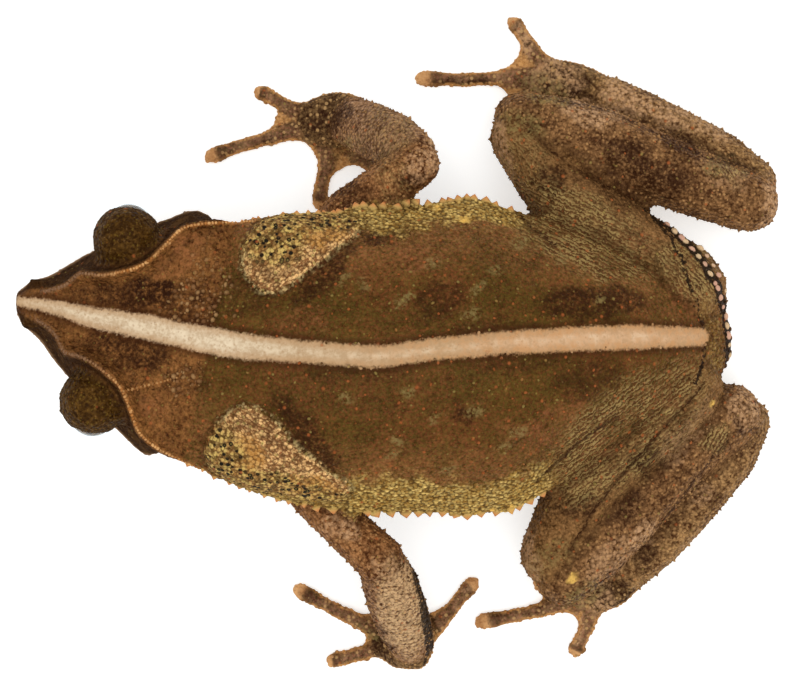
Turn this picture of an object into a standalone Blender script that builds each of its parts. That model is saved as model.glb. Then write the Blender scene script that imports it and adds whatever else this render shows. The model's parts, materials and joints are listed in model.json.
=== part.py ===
# Crested forest toad, life size, sitting on its belly, hands and feet with the head turned a little.
# Frame: metres, +Z up, floor at z = 0, origin under the middle of the toad's box. The snout points to -X,
# the toad's right side is +Y. Sizes below are millimetres and are turned to metres when a mesh is made.

import math

import bmesh
import bpy
import numpy as np
from mathutils import Matrix, Vector

MM = 0.001
GAP = 0.3  # clear space between neighbouring pieces
INFLATE = 0.34  # a cutter grown by this along its normals leaves GAP on faceted sides

BODY_LENGTH = 60.2  # snout to vent along the spine
JAW_BACK = 14.4  # spine distance of the jaw angle
NECK_CUT = 16.6
RUMP_CUT = 43.6

# The midline of the back seen from above, snout first.
SPINE = ((-31.7, 3.6), (-19.1, 1.0), (-12.2, -0.45), (-4.0, -1.4), (4.3, -1.2), (16.6, 0.0), (28.0, 0.5))

# Profiles along the spine: pairs of (distance from the snout, value).
# The edge is the crest line on the head and the row of tubercles on the trunk.
EDGE_WIDTH = (
    (0, 0.4), (1.2, 1.05), (2.7, 1.5), (3.9, 2.15), (5.2, 3.45), (6.2, 3.5), (7.2, 3.7), (8.3, 4.15),
    (9.3, 4.65), (10.2, 5.3), (10.9, 6.2), (11.6, 7.3), (12.5, 8.6), (13.7, 9.3), (15, 9.75), (17.5, 10.4),
    (20, 11.1), (24.3, 12.0), (28.4, 12.3), (32.5, 12.45), (36.6, 12.8), (39, 13.0), (41, 12.7),
    (43.5, 11.7), (47, 10.4), (51, 9.0), (55, 7.1), (58, 4.7), (59.6, 2.6), (60.2, 1.2),
)
EDGE_HEIGHT = (
    (0, 11.5), (1.2, 12.1), (2.7, 13.2), (5.2, 15.3), (8, 16.4), (10.2, 16.9), (12.4, 17.0), (15, 16.4),
    (18, 15.8), (24, 14.4), (30, 13.1), (36, 11.9), (41, 10.9), (47, 9.6), (52, 8.2), (57, 6.8), (60.2, 6.4),
)
BACK_HEIGHT = (
    (0, 11.7), (1.2, 12.5), (2.7, 13.4), (5.2, 14.7), (8, 15.6), (11, 16.6), (14, 17.5), (18, 18.8),
    (22, 19.8), (28, 20.6), (33, 20.6), (39, 19.8), (45, 17.9), (51, 15.0), (56, 11.6), (59, 8.8), (60.2, 7.0),
)
# The lip on the head and the fullest line of the flank on the trunk.
LIP_WIDTH = (
    (0, 0.4), (0.4, 1.0), (0.9, 1.85), (1.75, 2.25), (2.5, 2.8), (3.9, 4.1), (5.1, 5.1), (7.5, 7.0),
    (9.5, 8.4), (11, 9.3), (12.7, 10.35), (13.4, 10.5), (14.2, 10.0), (15.2, 9.5), (17.5, 9.4), (20, 9.8),
    (24, 10.6), (32, 11.3), (40, 11.7), (46, 10.5), (52, 8.5), (57, 5.4), (59.6, 2.3), (60.2, 1.1),
)
LIP_HEIGHT = (
    (0, 10.9), (2, 10.6), (5, 10.2), (9, 9.5), (13, 9.0), (17, 9.2), (22, 9.4), (30, 8.4), (36, 7.3),
    (41, 6.7), (47, 6.2), (52, 5.8), (57, 5.6), (60.2, 5.8),
)
BELLY_HEIGHT = (
    (0, 10.5), (1, 9.7), (3, 8.5), (5, 7.8), (9, 6.6), (13, 5.6), (17, 4.4), (22, 2.8), (27, 1.0),
    (31, -0.2), (36, -0.4), (50, -0.4), (53, 0.0), (56, 1.0), (58.5, 3.0), (60.2, 5.2),
)
FLANK_UNDERCUT = ((0, 0.0), (12, 0.0), (18, 0.5), (26, 1.0), (38, 0.9), (46, 0.3), (60.2, 0.0))

TOP_STEPS, SIDE_STEPS, UNDER_STEPS = 8, 4, 5  # faces of a half section
UNDER_POWER = 2.5  # squareness of the belly's section
HEAD_STEP, TRUNK_STEP = 1.0, 2.6  # spacing of the sections

# The bony crest on the head's edge: (place along the spine, half width, half height).
CREST = ((1.6, 0.26, 0.26), (4.0, 0.36, 0.4), (8.0, 0.42, 0.55), (12.0, 0.45, 0.6), (15.4, 0.4, 0.42))
CREST_SIDES, CREST_RING = 6, 1.3

# Parotoid glands: long swellings behind the crests. The tilt, in degrees, follows the slope of the back.
GLAND_CENTRE, GLAND_RADII, GLAND_TILT = (21.9, 8.6, 17.1), (4.8, 2.7, 1.2), 30

# Eyes and lids, as distance from the snout, distance from the midline and height.
LID_CENTRE, LID_RADII = (8.1, 6.85, 13.7), (2.95, 2.9, 3.0)
CHEEK_CENTRE, CHEEK_RADII = (8.6, 5.9, 11.9), (3.2, 2.5, 2.3)
EYE_CENTRE, EYE_RADIUS = (8.1, 7.4, 13.3), 2.15
LID_OPENING_CENTRE, LID_OPENING_RADII = (8.0, 10.0, 13.25), (2.35, 2.0, 1.6)
NOSE_CENTRE, NOSE_RADII = (1.5, 1.5, 11.55), (0.8, 0.75, 0.65)
NOSTRIL_CENTRE, NOSTRIL_RADII = (1.35, 2.15, 11.7), (0.3, 0.4, 0.25)
EAR_CENTRE, EAR_RADIUS, EAR_RIM = (12.1, 8.95, 12.6), 1.2, 0.27

# The row of pointed tubercles: (first, last, spacing, radius, height) along the spine.
GLAND_TUBERCLES = (17.6, 26.5, 1.25, 0.42, 0.32)
FLANK_TUBERCLES = (27.2, 41.2, 1.0, 0.5, 0.5)
TUBERCLE_SIDES = 5

# Limbs: path points (x, y, z) with half width and half height at each, the toad's right side first.
LIMBS = {
    "upper_arm_right": (((-6.6, 8.0, 9.6), 2.2, 2.2), ((-4.2, 10.9, 10.2), 2.1, 2.2),
                        ((-1.2, 13.0, 11.0), 2.05, 2.1), ((1.6, 15.0, 11.4), 2.0, 1.9)),
    "forearm_right": (((1.5, 15.4, 11.2), 2.1, 2.0), ((-0.3, 16.9, 8.6), 2.45, 2.1),
                      ((-2.6, 18.2, 5.2), 2.35, 1.7), ((-4.2, 19.0, 2.7), 2.15, 1.3)),
    "upper_arm_left": (((-8.6, -10.4, 9.6), 2.2, 2.2), ((-6.2, -13.5, 10.2), 2.0, 2.2),
                       ((-3.6, -16.0, 11.0), 1.95, 2.1), ((-1.5, -17.9, 11.4), 2.1, 1.9)),
    "forearm_left": (((-1.4, -18.0, 11.2), 2.1, 2.0), ((-0.4, -20.8, 8.4), 2.45, 2.1),
                     ((0.5, -23.6, 5.2), 2.35, 1.7), ((1.3, -25.6, 2.7), 1.95, 1.3)),
    "thigh_right": (((23.0, 3.9, 6.6), 5.0, 4.6), ((17.9, 8.3, 6.9), 4.2, 4.4),
                    ((13.3, 13.3, 6.3), 3.1, 3.8), ((10.2, 17.3, 5.6), 2.5, 3.2)),
    "thigh_left": (((22.7, -2.9, 6.6), 4.9, 4.6), ((18.6, -7.6, 6.9), 4.3, 4.4),
                   ((15.3, -12.9, 6.3), 3.2, 3.8), ((13.1, -17.6, 5.6), 2.9, 3.2)),
    "shank_right": (((10.4, 18.9, 5.6), 2.4, 2.9), ((15.4, 17.6, 5.7), 2.9, 3.3),
                    ((20.8, 15.3, 5.3), 3.0, 3.2), ((25.0, 13.6, 4.8), 2.9, 3.0), ((29.6, 12.0, 4.1), 2.6, 2.6)),
    "shank_left": (((14.0, -19.6, 5.6), 2.5, 2.9), ((16.9, -16.8, 5.7), 2.9, 3.3),
                   ((20.3, -13.1, 5.3), 2.9, 3.2), ((23.4, -9.7, 4.8), 2.8, 3.0), ((28.1, -5.9, 4.1), 2.7, 2.6)),
    "tarsus_right": (((30.2, 13.7, 2.2), 2.0, 2.3), ((28.2, 15.3, 2.1), 2.2, 2.3),
                     ((24.6, 17.3, 2.1), 2.2, 2.3), ((20.9, 19.3, 1.9), 2.1, 2.1), ((17.8, 20.9, 1.6), 1.9, 1.8)),
    "tarsus_left": (((29.5, -6.6, 2.2), 2.1, 2.3), ((28.2, -9.4, 2.1), 2.3, 2.3),
                    ((25.4, -12.9, 2.1), 2.2, 2.3), ((22.5, -16.4, 1.9), 2.1, 2.1), ((19.6, -19.1, 1.6), 1.9, 1.8)),
}
HANDS_AND_FEET = {
    "hand_right": (((-3.6, 19.3, 1.8), 2.0, 1.3), ((-5.4, 19.1, 1.2), 2.45, 1.2), ((-7.6, 18.9, 0.8), 1.9, 0.95)),
    "hand_left": (((1.7, -26.0, 1.8), 1.8, 1.3), ((0.5, -25.6, 1.2), 2.2, 1.2), ((-1.2, -25.2, 0.8), 1.6, 0.95)),
    "foot_right": (((18.0, 20.8, 1.4), 1.8, 1.5), ((15.2, 21.9, 1.1), 2.0, 1.3), ((12.9, 22.6, 0.8), 1.8, 0.95)),
    "foot_left": (((19.9, -19.0, 1.4), 1.8, 1.5), ((18.1, -20.5, 1.1), 2.0, 1.3), ((16.7, -21.4, 0.8), 1.7, 0.95)),
}
# Digits: (x, y, z) points from inside the palm or sole to the tip.
DIGITS = {
    "finger_1_right": ((-5.0, 18.2, 0.8), (-3.4, 16.0, 0.6), (-1.4, 14.5, 0.5)),
    "finger_2_right": ((-6.2, 18.2, 0.8), (-6.2, 15.4, 0.6), (-6.5, 13.5, 0.5), (-6.7, 12.1, 0.5)),
    "finger_3_right": ((-7.0, 18.6, 0.8), (-10.3, 17.7, 0.6), (-13.4, 16.9, 0.5), (-15.8, 16.0, 0.5)),
    "finger_4_right": ((-7.0, 19.3, 0.8), (-9.4, 20.2, 0.6), (-10.8, 20.9, 0.5), (-11.6, 21.4, 0.5)),
    "finger_1_left": ((1.6, -25.8, 0.8), (3.5, -24.0, 0.6), (4.9, -22.1, 0.5), (6.3, -20.4, 0.5)),
    "finger_2_left": ((0.7, -25.4, 0.8), (0.3, -23.2, 0.6), (0.1, -21.2, 0.5)),
    "finger_3_left": ((-0.4, -25.0, 0.8), (-3.6, -23.5, 0.6), (-6.3, -22.1, 0.5), (-8.3, -21.0, 0.5)),
    "finger_4_left": ((-0.4, -25.6, 0.8), (-2.6, -26.2, 0.6), (-4.2, -26.6, 0.5), (-5.4, -26.9, 0.5)),
    "toe_1_right": ((14.6, 21.8, 0.8), (14.2, 20.0, 0.6), (13.9, 18.8, 0.5)),
    "toe_2_right": ((13.6, 22.0, 0.8), (12.3, 19.9, 0.6), (11.3, 18.4, 0.5)),
    "toe_3_right": ((13.2, 22.3, 0.8), (10.7, 20.8, 0.6), (8.9, 19.6, 0.5)),
    "toe_4_right": ((13.2, 22.6, 0.8), (8.9, 22.6, 0.6), (5.4, 22.5, 0.5), (2.1, 22.6, 0.5)),
    "toe_5_right": ((13.8, 22.7, 0.8), (12.1, 24.3, 0.6), (10.8, 25.9, 0.5), (9.9, 27.3, 0.5)),
    "toe_1_left": ((17.9, -20.5, 0.8), (16.7, -19.0, 0.6), (15.9, -17.9, 0.5)),
    "toe_2_left": ((17.2, -20.8, 0.8), (15.3, -19.5, 0.6), (13.9, -18.5, 0.5)),
    "toe_3_left": ((16.9, -21.1, 0.8), (14.3, -20.8, 0.6), (12.2, -20.4, 0.5)),
    "toe_4_left": ((16.8, -21.4, 0.8), (13.0, -22.4, 0.6), (10.0, -23.1, 0.5), (7.2, -23.6, 0.5)),
    "toe_5_left": ((17.2, -21.4, 0.8), (16.4, -23.3, 0.6), (15.8, -24.6, 0.5), (15.2, -25.9, 0.5)),
}
DIGIT_SIZES = ((0.95, 0.75), (0.66, 0.62), (0.56, 0.56), (0.6, 0.58))  # half width and height, root to tip
LIMB_SIDES, FOOT_SIDES, DIGIT_SIDES = 12, 12, 8
LIMB_RING, FOOT_RING, DIGIT_RING = 3.2, 1.6, 2.6  # spacing of the rings
LIMB_CAP, DIGIT_CAP = (30, 60), (45,)  # rings of a rounded end, in degrees

COLOURS = {
    "skin": (0.16, 0.09, 0.045, 1.0, 0.7),
    "limb": (0.19, 0.115, 0.07, 1.0, 0.7),
    "digit": (0.33, 0.2, 0.11, 1.0, 0.65),
    "throat": (0.3, 0.22, 0.15, 1.0, 0.65),
    "eye": (0.02, 0.022, 0.025, 1.0, 0.08),
}


def profile(pairs):
    """A smooth function through (place, value) pairs that doesn't overshoot between them."""
    x = np.array([p[0] for p in pairs], float)
    y = np.array([p[1] for p in pairs], float)
    step = np.diff(x)
    slope = np.diff(y) / step
    tangent = np.zeros(len(x))
    for i in range(1, len(x) - 1):
        if slope[i - 1] * slope[i] > 0:
            before, after = 2 * step[i] + step[i - 1], step[i] + 2 * step[i - 1]
            tangent[i] = (before + after) / (before / slope[i - 1] + after / slope[i])
    tangent[0], tangent[-1] = slope[0], slope[-1]

    def value(at):
        i = int(np.clip(np.searchsorted(x, at) - 1, 0, len(step) - 1))
        t = min(max((at - x[i]) / step[i], 0.0), 1.0)
        start = (1 + 2 * t) * (1 - t) ** 2 * y[i] + t * (1 - t) ** 2 * step[i] * tangent[i]
        return start + t * t * (3 - 2 * t) * y[i + 1] + t * t * (t - 1) * step[i] * tangent[i + 1]

    return value


def smooth_path(points, spacing):
    """Points about spacing apart on a smooth curve through the given ones, with their place from 0 to 1."""
    knots = np.array(points, float)
    along = np.concatenate([[0], np.cumsum(np.linalg.norm(np.diff(knots, axis=0), axis=1))])
    curves = [profile(list(zip(along, knots[:, k]))) for k in range(knots.shape[1])]
    count = max(2, round(along[-1] / spacing))
    places = np.linspace(0, along[-1], count + 1)
    return [np.array([curve(s) for curve in curves]) for s in places], places / along[-1], along / along[-1]


spine_points = np.array(SPINE)
spine_along = np.concatenate([[0], np.cumsum(np.linalg.norm(np.diff(spine_points, axis=0), axis=1))])
spine_x = profile(list(zip(spine_along, spine_points[:, 0])))
spine_y = profile(list(zip(spine_along, spine_points[:, 1])))
edge_width, edge_height = profile(EDGE_WIDTH), profile(EDGE_HEIGHT)
lip_width, lip_height = profile(LIP_WIDTH), profile(LIP_HEIGHT)
back_height, belly_height = profile(BACK_HEIGHT), profile(BELLY_HEIGHT)
flank_undercut = profile(FLANK_UNDERCUT)


def spine_frame(s):
    """The spine's point at s, and the unit vectors along it to the rear and across it to the toad's right."""
    reach = 0.8
    here = np.array([spine_x(s), spine_y(s)])
    low, high = max(s - reach, 0), min(s + reach, spine_along[-1])
    along = np.array([spine_x(high) - spine_x(low), spine_y(high) - spine_y(low)])
    along /= np.linalg.norm(along)
    return here, along, np.array([-along[1], along[0]])


def on_body(s, across, height):
    """A place given along the spine, to the toad's right and up, as a row-frame point in millimetres."""
    here, _, right = spine_frame(s)
    place = here + right * across
    return np.array([place[0], place[1], height])


def eased(value, start, end):
    """0 before start and 1 after end, turning smoothly between them."""
    t = min(max((value - start) / (end - start), 0.0), 1.0)
    return t * t * (3 - 2 * t)


def half_section(s):
    """Points (across, height) of the right half of the body's section, from the back to the belly."""
    edge = np.array([edge_width(s), edge_height(s)])
    lip = np.array([lip_width(s), lip_height(s)])
    trunk = eased(s, 11.0, 17.0)
    back, belly = back_height(s), belly_height(s)
    ridge = 0.3 * (1 - trunk) * eased(s, 1.0, 3.0)
    points = []
    for k in range(TOP_STEPS):
        t = math.sin(math.pi / 2 * k / TOP_STEPS)
        head_top = back + (edge[1] - back) * t**3 - ridge * math.exp(-(((t - 0.8) / 0.14) ** 2))
        trunk_top = edge[1] + (back - edge[1]) * (1 - t**2.2) ** 0.75
        height = head_top + (trunk_top - head_top) * trunk
        points.append((t * edge[0], height))
    for k in range(SIDE_STEPS):
        t = k / SIDE_STEPS
        hollow = flank_undercut(s) * math.sin(math.pi * min(1.0, t * 1.35)) + 0.25 * (1 - trunk) * math.sin(math.pi * t)
        across = edge[0] + (lip[0] - edge[0]) * t**0.9 - hollow
        points.append((across, edge[1] + (lip[1] - edge[1]) * t))
    for k in range(UNDER_STEPS + 1):
        angle = math.pi / 2 * k / UNDER_STEPS
        across = lip[0] * math.cos(angle) ** (2 / UNDER_POWER)
        drop = (lip[1] - belly) * math.sin(angle) ** (2 / UNDER_POWER)
        points.append((across, max(0.0, lip[1] - drop)))
    points[-1] = (0.0, points[-1][1])
    return points


def new_object(name, mesh):
    """An object in the scene that holds this mesh."""
    obj = bpy.data.objects.new(name, mesh)
    bpy.context.scene.collection.objects.link(obj)
    return obj


def loft(name, rings):
    """A closed mesh through rings of equal length, given in millimetres, with a point or a ring at each end."""
    made = bmesh.new()
    rows = [[made.verts.new(Vector(p) * MM) for p in ring] for ring in rings]
    for near, far in zip(rows, rows[1:]):
        count = max(len(near), len(far))
        for k in range(count):
            corners = [near[k % len(near)], near[(k + 1) % len(near)], far[(k + 1) % len(far)], far[k % len(far)]]
            made.faces.new(list(dict.fromkeys(corners)))
    for row in (rows[0], rows[-1]):
        if len(row) > 2:
            made.faces.new(row)
    bmesh.ops.recalc_face_normals(made, faces=made.faces)
    if made.calc_volume(signed=True) < 0:
        bmesh.ops.reverse_faces(made, faces=made.faces)
    bmesh.ops.triangulate(made, faces=[f for f in made.faces if len(f.verts) > 4])
    mesh = bpy.data.meshes.new(name)
    made.to_mesh(mesh)
    made.free()
    return new_object(name, mesh)


def body_loft():
    """Head and trunk as one closed form."""
    head = list(np.arange(0, JAW_BACK, HEAD_STEP))
    stations = head + list(np.arange(JAW_BACK, BODY_LENGTH - 1, TRUNK_STEP)) + [BODY_LENGTH - 0.7, BODY_LENGTH]
    rings = []
    for s in stations:
        half = half_section(s)
        whole = half + [(-across, height) for across, height in half[-2:0:-1]]
        rings.append([on_body(s, across, height) for across, height in whole])
    return loft("body", rings)


def primitive_sphere(name, centre, radii, segments=12, rings=8, tilt=0.0):
    """An ellipsoid that lies along the spine and is tilted about it by some degrees."""
    made = bmesh.new()
    bmesh.ops.create_uvsphere(made, u_segments=segments, v_segments=rings, radius=1.0)
    _, along, _ = spine_frame(centre[0])
    turn = Matrix.Rotation(math.atan2(along[1], along[0]), 4, "Z")
    place = Matrix.Translation(Vector(on_body(*centre)) * MM)
    turn @= Matrix.Rotation(math.radians(tilt), 4, "X")
    made.transform(place @ turn @ Matrix.Diagonal((*[r * MM for r in radii], 1.0)))
    mesh = bpy.data.meshes.new(name)
    made.to_mesh(mesh)
    made.free()
    return new_object(name, mesh)


def mirrored(centre, side):
    """The place on the toad's right (side 1) or left (side -1)."""
    return (centre[0], centre[1] * side, centre[2])


def tubercle(s, side, radius, height):
    """A cone on the edge that points out, a little up and back, with its root sunk in."""
    made = bmesh.new()
    bmesh.ops.create_cone(
        made, cap_ends=True, cap_tris=False, segments=TUBERCLE_SIDES, radius1=radius * MM, radius2=0.12 * MM,
        depth=(height + radius) * MM,
    )
    _, along, right = spine_frame(s)
    outward = Vector((*(right * side + along * 0.25), 0.12)).normalized()
    turn = outward.to_track_quat("Z", "Y").to_matrix().to_4x4()
    root = Vector(on_body(s, side * (edge_width(s) - radius * 0.5), edge_height(s) - 0.05)) * MM
    made.transform(Matrix.Translation(root + outward * (height * 0.5) * MM) @ turn)
    mesh = bpy.data.meshes.new("tubercle")
    made.to_mesh(mesh)
    made.free()
    return new_object("tubercle", mesh)


def tubercle_rows():
    """The pointed tubercles along both edges, larger on the flank than on the gland."""
    cones = []
    for first, last, spacing, radius, height in (GLAND_TUBERCLES, FLANK_TUBERCLES):
        for n, s in enumerate(np.arange(first, last, spacing)):
            for side in (1, -1):
                size = 1 + 0.22 * math.sin(2.3 * n + side)
                cones.append(tubercle(s + 0.12 * math.sin(1.7 * n + side), side, radius * size, height * size))
    return cones


def crest(side):
    """The raised bony line along the head's edge."""
    stations = [(on_body(s, side * (edge_width(s) - wide * 0.5), edge_height(s) + tall * 0.2), wide, tall)
                for s, wide, tall in crest_steps()]
    return limb("crest", stations, CREST_SIDES, CREST_RING)


def crest_steps():
    """The crest's sizes at close steps, so that its path keeps to the bends of the edge."""
    wide = profile([(s, w) for s, w, _ in CREST])
    tall = profile([(s, h) for s, _, h in CREST])
    return [(s, wide(s), tall(s)) for s in np.arange(CREST[0][0], CREST[-1][0], 0.9)]


def ear_rim(side):
    """The raised ring round the eardrum."""
    bpy.ops.mesh.primitive_torus_add(
        major_segments=14, minor_segments=5, major_radius=EAR_RADIUS * MM, minor_radius=EAR_RIM * MM,
    )
    ring = bpy.context.object
    _, along, right = spine_frame(EAR_CENTRE[0])
    facing = Vector((*(right * side - along * 0.8), 0.3)).normalized()
    centre = Vector(on_body(*mirrored(EAR_CENTRE, side))) * MM
    ring.data.transform(Matrix.Translation(centre) @ facing.to_track_quat("Z", "Y").to_matrix().to_4x4())
    return ring


def bake_modifiers(obj):
    """Replaces the object's mesh with its evaluated one and drops its modifiers."""
    graph = bpy.context.evaluated_depsgraph_get()
    mesh = bpy.data.meshes.new_from_object(obj.evaluated_get(graph))
    obj.modifiers.clear()
    obj.data = mesh


def remove(objects):
    for obj in objects:
        bpy.data.objects.remove(obj)


def combine(obj, others, operation, solver="EXACT"):
    """Joins the others to obj, or cuts them from it, with one Boolean on a collection, and removes them."""
    tools = bpy.data.collections.new("tools")
    bpy.context.scene.collection.children.link(tools)
    for other in others:
        for home in list(other.users_collection):
            home.objects.unlink(other)
        tools.objects.link(other)
    modifier = obj.modifiers.new(operation.lower(), "BOOLEAN")
    modifier.operand_type = "COLLECTION"
    modifier.collection = tools
    modifier.operation = operation
    modifier.solver = solver
    bpy.context.view_layer.update()
    bake_modifiers(obj)
    remove(list(tools.objects))
    bpy.data.collections.remove(tools)


def loose_parts(obj):
    """The object's separate closed surfaces as bmeshes with their sizes, the largest volume first."""
    whole = bmesh.new()
    whole.from_mesh(obj.data)
    bmesh.ops.remove_doubles(whole, verts=whole.verts, dist=0.001 * MM)
    whole.verts.ensure_lookup_table()
    unseen = set(whole.verts)
    groups = []
    while unseen:
        reached, front = set(), [unseen.pop()]
        while front:
            vert = front.pop()
            reached.add(vert)
            for edge in vert.link_edges:
                other = edge.other_vert(vert)
                if other in unseen:
                    unseen.discard(other)
                    front.append(other)
        groups.append({v.index for v in reached})
    parts = []
    for group in groups:
        piece = whole.copy()
        piece.verts.ensure_lookup_table()
        bmesh.ops.delete(piece, geom=[v for v in piece.verts if v.index not in group], context="VERTS")
        parts.append((piece.calc_volume(), piece))
    whole.free()
    return [piece for _, piece in sorted(parts, key=lambda p: -p[0])]


def keep_largest(obj):
    """Drops every surface of the object but the largest."""
    parts = loose_parts(obj)
    parts[0].to_mesh(obj.data)
    for part in parts:
        part.free()


def grown(obj, by=INFLATE):
    """A copy of the object that stands out by this much all round."""
    made = bmesh.new()
    made.from_mesh(obj.data)
    made.normal_update()
    for vert in made.verts:
        vert.co += vert.normal * by * MM
    mesh = bpy.data.meshes.new("grown")
    made.to_mesh(mesh)
    made.free()
    return new_object("grown", mesh)


def limb(name, stations, sides, spacing):
    """A smooth tapering form along a path, with rounded ends and a flat where it meets the floor."""
    path = [station[0] for station in stations]
    points, places, knots = smooth_path(path, spacing)
    width = profile(list(zip(knots, [station[1] for station in stations])))
    height = profile(list(zip(knots, [station[2] for station in stations])))
    rings = []

    def ring(centre, along, across, up, half_width, half_height):
        turned = []
        for k in range(sides):
            angle = 2 * math.pi * (k + 0.5) / sides
            reach = across * half_width * math.cos(angle) + up * half_height * math.sin(angle)
            place = centre + reach
            turned.append((place[0], place[1], max(0.0, place[2])))
        return turned

    for n, (centre, place) in enumerate(zip(points, places)):
        before, after = points[max(n - 1, 0)], points[min(n + 1, len(points) - 1)]
        along = (after - before) / np.linalg.norm(after - before)
        across = np.cross(along, [0, 0, 1])
        across /= np.linalg.norm(across)
        up = np.cross(across, along)
        size = (width(place), height(place))
        body_ring = ring(centre, along, across, up, *size)
        ends = []
        sign = -1 if n == 0 else 1
        if n in (0, len(points) - 1):
            for degrees in LIMB_CAP if sides > DIGIT_SIDES else DIGIT_CAP:
                out, scale = math.sin(math.radians(degrees)), math.cos(math.radians(degrees))
                shifted = centre + along * sign * min(size) * out
                ends.append(ring(shifted, along, across, up, size[0] * scale, size[1] * scale))
            tip = centre + along * sign * min(size)
            ends.append([(tip[0], tip[1], max(0.05, tip[2]))])
        rings += [*reversed(ends), body_ring] if n == 0 else [body_ring, *ends]
    return loft(name, rings)


def near(first, second, margin=1.0):
    """Whether the two objects' boxes come within margin millimetres."""
    boxes = []
    for obj in (first, second):
        places = np.array([v.co for v in obj.data.vertices])
        boxes.append((places.min(0), places.max(0)))
    (low_a, high_a), (low_b, high_b) = boxes
    return bool(((low_a - margin * MM <= high_b) & (low_b - margin * MM <= high_a)).all())


def cut_clear(obj, neighbours):
    """Cuts the object back from each neighbour, so that they meet face to face with a thin gap."""
    cutters = [grown(other) for other in neighbours if near(obj, other)]
    for cutter in cutters:
        combine(obj, [cutter], "DIFFERENCE", "MANIFOLD")
    keep_largest(obj)


def slab(name, s, reach=40):
    """A thin wall across the spine at s."""
    bpy.ops.mesh.primitive_cube_add(size=1)
    wall = bpy.context.object
    wall.name = name
    here, along, _ = spine_frame(s)
    turn = Matrix.Rotation(math.atan2(along[1], along[0]), 4, "Z")
    size = Matrix.Diagonal((GAP * MM, reach * MM, reach * MM, 1.0))
    wall.data.transform(Matrix.Translation((here[0] * MM, here[1] * MM, 0.0)) @ turn @ size)
    return wall


def mouth_cutter():
    """A thin bent sheet that follows the lips back to the jaw angle and then drops to the throat."""
    made = bmesh.new()
    rows = []
    line = [(s, lip_height(max(s, 0)) - 0.45) for s in np.arange(-1.0, JAW_BACK, 1.1)]
    line += [(JAW_BACK, lip_height(JAW_BACK) - 0.45), (JAW_BACK + 0.2, 5.5), (JAW_BACK + 0.2, -2.0)]
    head, along, right = spine_frame(0)
    for s, height in line:
        row = []
        for across in (-16.0, 16.0):
            place = head + along * s + right * across
            row.append(made.verts.new((place[0] * MM, place[1] * MM, height * MM)))
        rows.append(row)
    for near_row, far_row in zip(rows, rows[1:]):
        made.faces.new([near_row[0], near_row[1], far_row[1], far_row[0]])
    bmesh.ops.recalc_face_normals(made, faces=made.faces)
    mesh = bpy.data.meshes.new("mouth")
    made.to_mesh(mesh)
    made.free()
    sheet = new_object("mouth", mesh)
    thickness = sheet.modifiers.new("thickness", "SOLIDIFY")
    thickness.thickness = GAP * MM
    thickness.offset = 0
    bake_modifiers(sheet)
    return sheet


def named_part(name, part):
    """A scene object made from a loose part."""
    mesh = bpy.data.meshes.new(name)
    part.to_mesh(mesh)
    return new_object(name, mesh)


def head_and_trunk():
    """The body with its crests, lids, ears and tubercles, cut into head, lower jaw, torso and rump."""
    body = body_loft()
    whole = grown(body, 0.0)
    additions = tubercle_rows()
    openings, eyes = [], []
    for side, word in ((1, "right"), (-1, "left")):
        additions.append(primitive_sphere("lid", mirrored(LID_CENTRE, side), LID_RADII))
        additions.append(primitive_sphere("cheek", mirrored(CHEEK_CENTRE, side), CHEEK_RADII, 12, 8))
        additions.append(primitive_sphere("nose", mirrored(NOSE_CENTRE, side), NOSE_RADII, 8, 6))
        gland = primitive_sphere("gland", mirrored(GLAND_CENTRE, side), GLAND_RADII, tilt=-GLAND_TILT * side)
        additions += [ear_rim(side), gland, crest(side)]
        eyes.append(primitive_sphere(f"eye_{word}", mirrored(EYE_CENTRE, side), [EYE_RADIUS] * 3, 16, 10))
        socket = [EYE_RADIUS + GAP] * 3
        openings.append(primitive_sphere("socket", mirrored(EYE_CENTRE, side), socket))
        openings.append(primitive_sphere("lids", mirrored(LID_OPENING_CENTRE, side), LID_OPENING_RADII))
        openings.append(primitive_sphere("nostril", mirrored(NOSTRIL_CENTRE, side), NOSTRIL_RADII, 8, 6))
    combine(body, additions, "UNION")
    for opening in [*openings, mouth_cutter(), slab("neck", NECK_CUT), slab("rump_wall", RUMP_CUT)]:
        combine(body, [opening], "DIFFERENCE")
    parts = loose_parts(body)[:4]
    centres = [sum((v.co for v in part.verts), Vector()) / len(part.verts) for part in parts]
    order = sorted(range(4), key=lambda k: centres[k].x)
    rump, torso = parts[order[3]], parts[order[2]]
    jaw, head = (parts[k] for k in sorted(order[:2], key=lambda k: centres[k].z))
    pieces = [named_part(name, part) for name, part in
              (("head", head), ("lower_jaw", jaw), ("torso", torso), ("rump", rump))]
    remove([body])
    return pieces, eyes, whole


def centre_over_origin(nodes):
    """Moves the nodes sideways, so that the middle of their common box is over the origin."""
    places = np.array([v.co for obj in nodes for v in obj.data.vertices])
    middle = (places.min(0) + places.max(0)) / 2
    for obj in nodes:
        obj.data.transform(Matrix.Translation((-middle[0], -middle[1], 0.0)))


def finish(obj, look):
    """Smooth shading and the material of this look."""
    material = bpy.data.materials.get(look) or bpy.data.materials.new(look)
    material.use_nodes = True
    shader = material.node_tree.nodes["Principled BSDF"]
    shader.inputs["Base Color"].default_value = COLOURS[look][:4]
    shader.inputs["Roughness"].default_value = COLOURS[look][4]
    obj.data.materials.clear()
    obj.data.materials.append(material)
    obj.data.shade_smooth()
    obj.data.set_sharp_from_angle(angle=math.radians(50))


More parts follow.
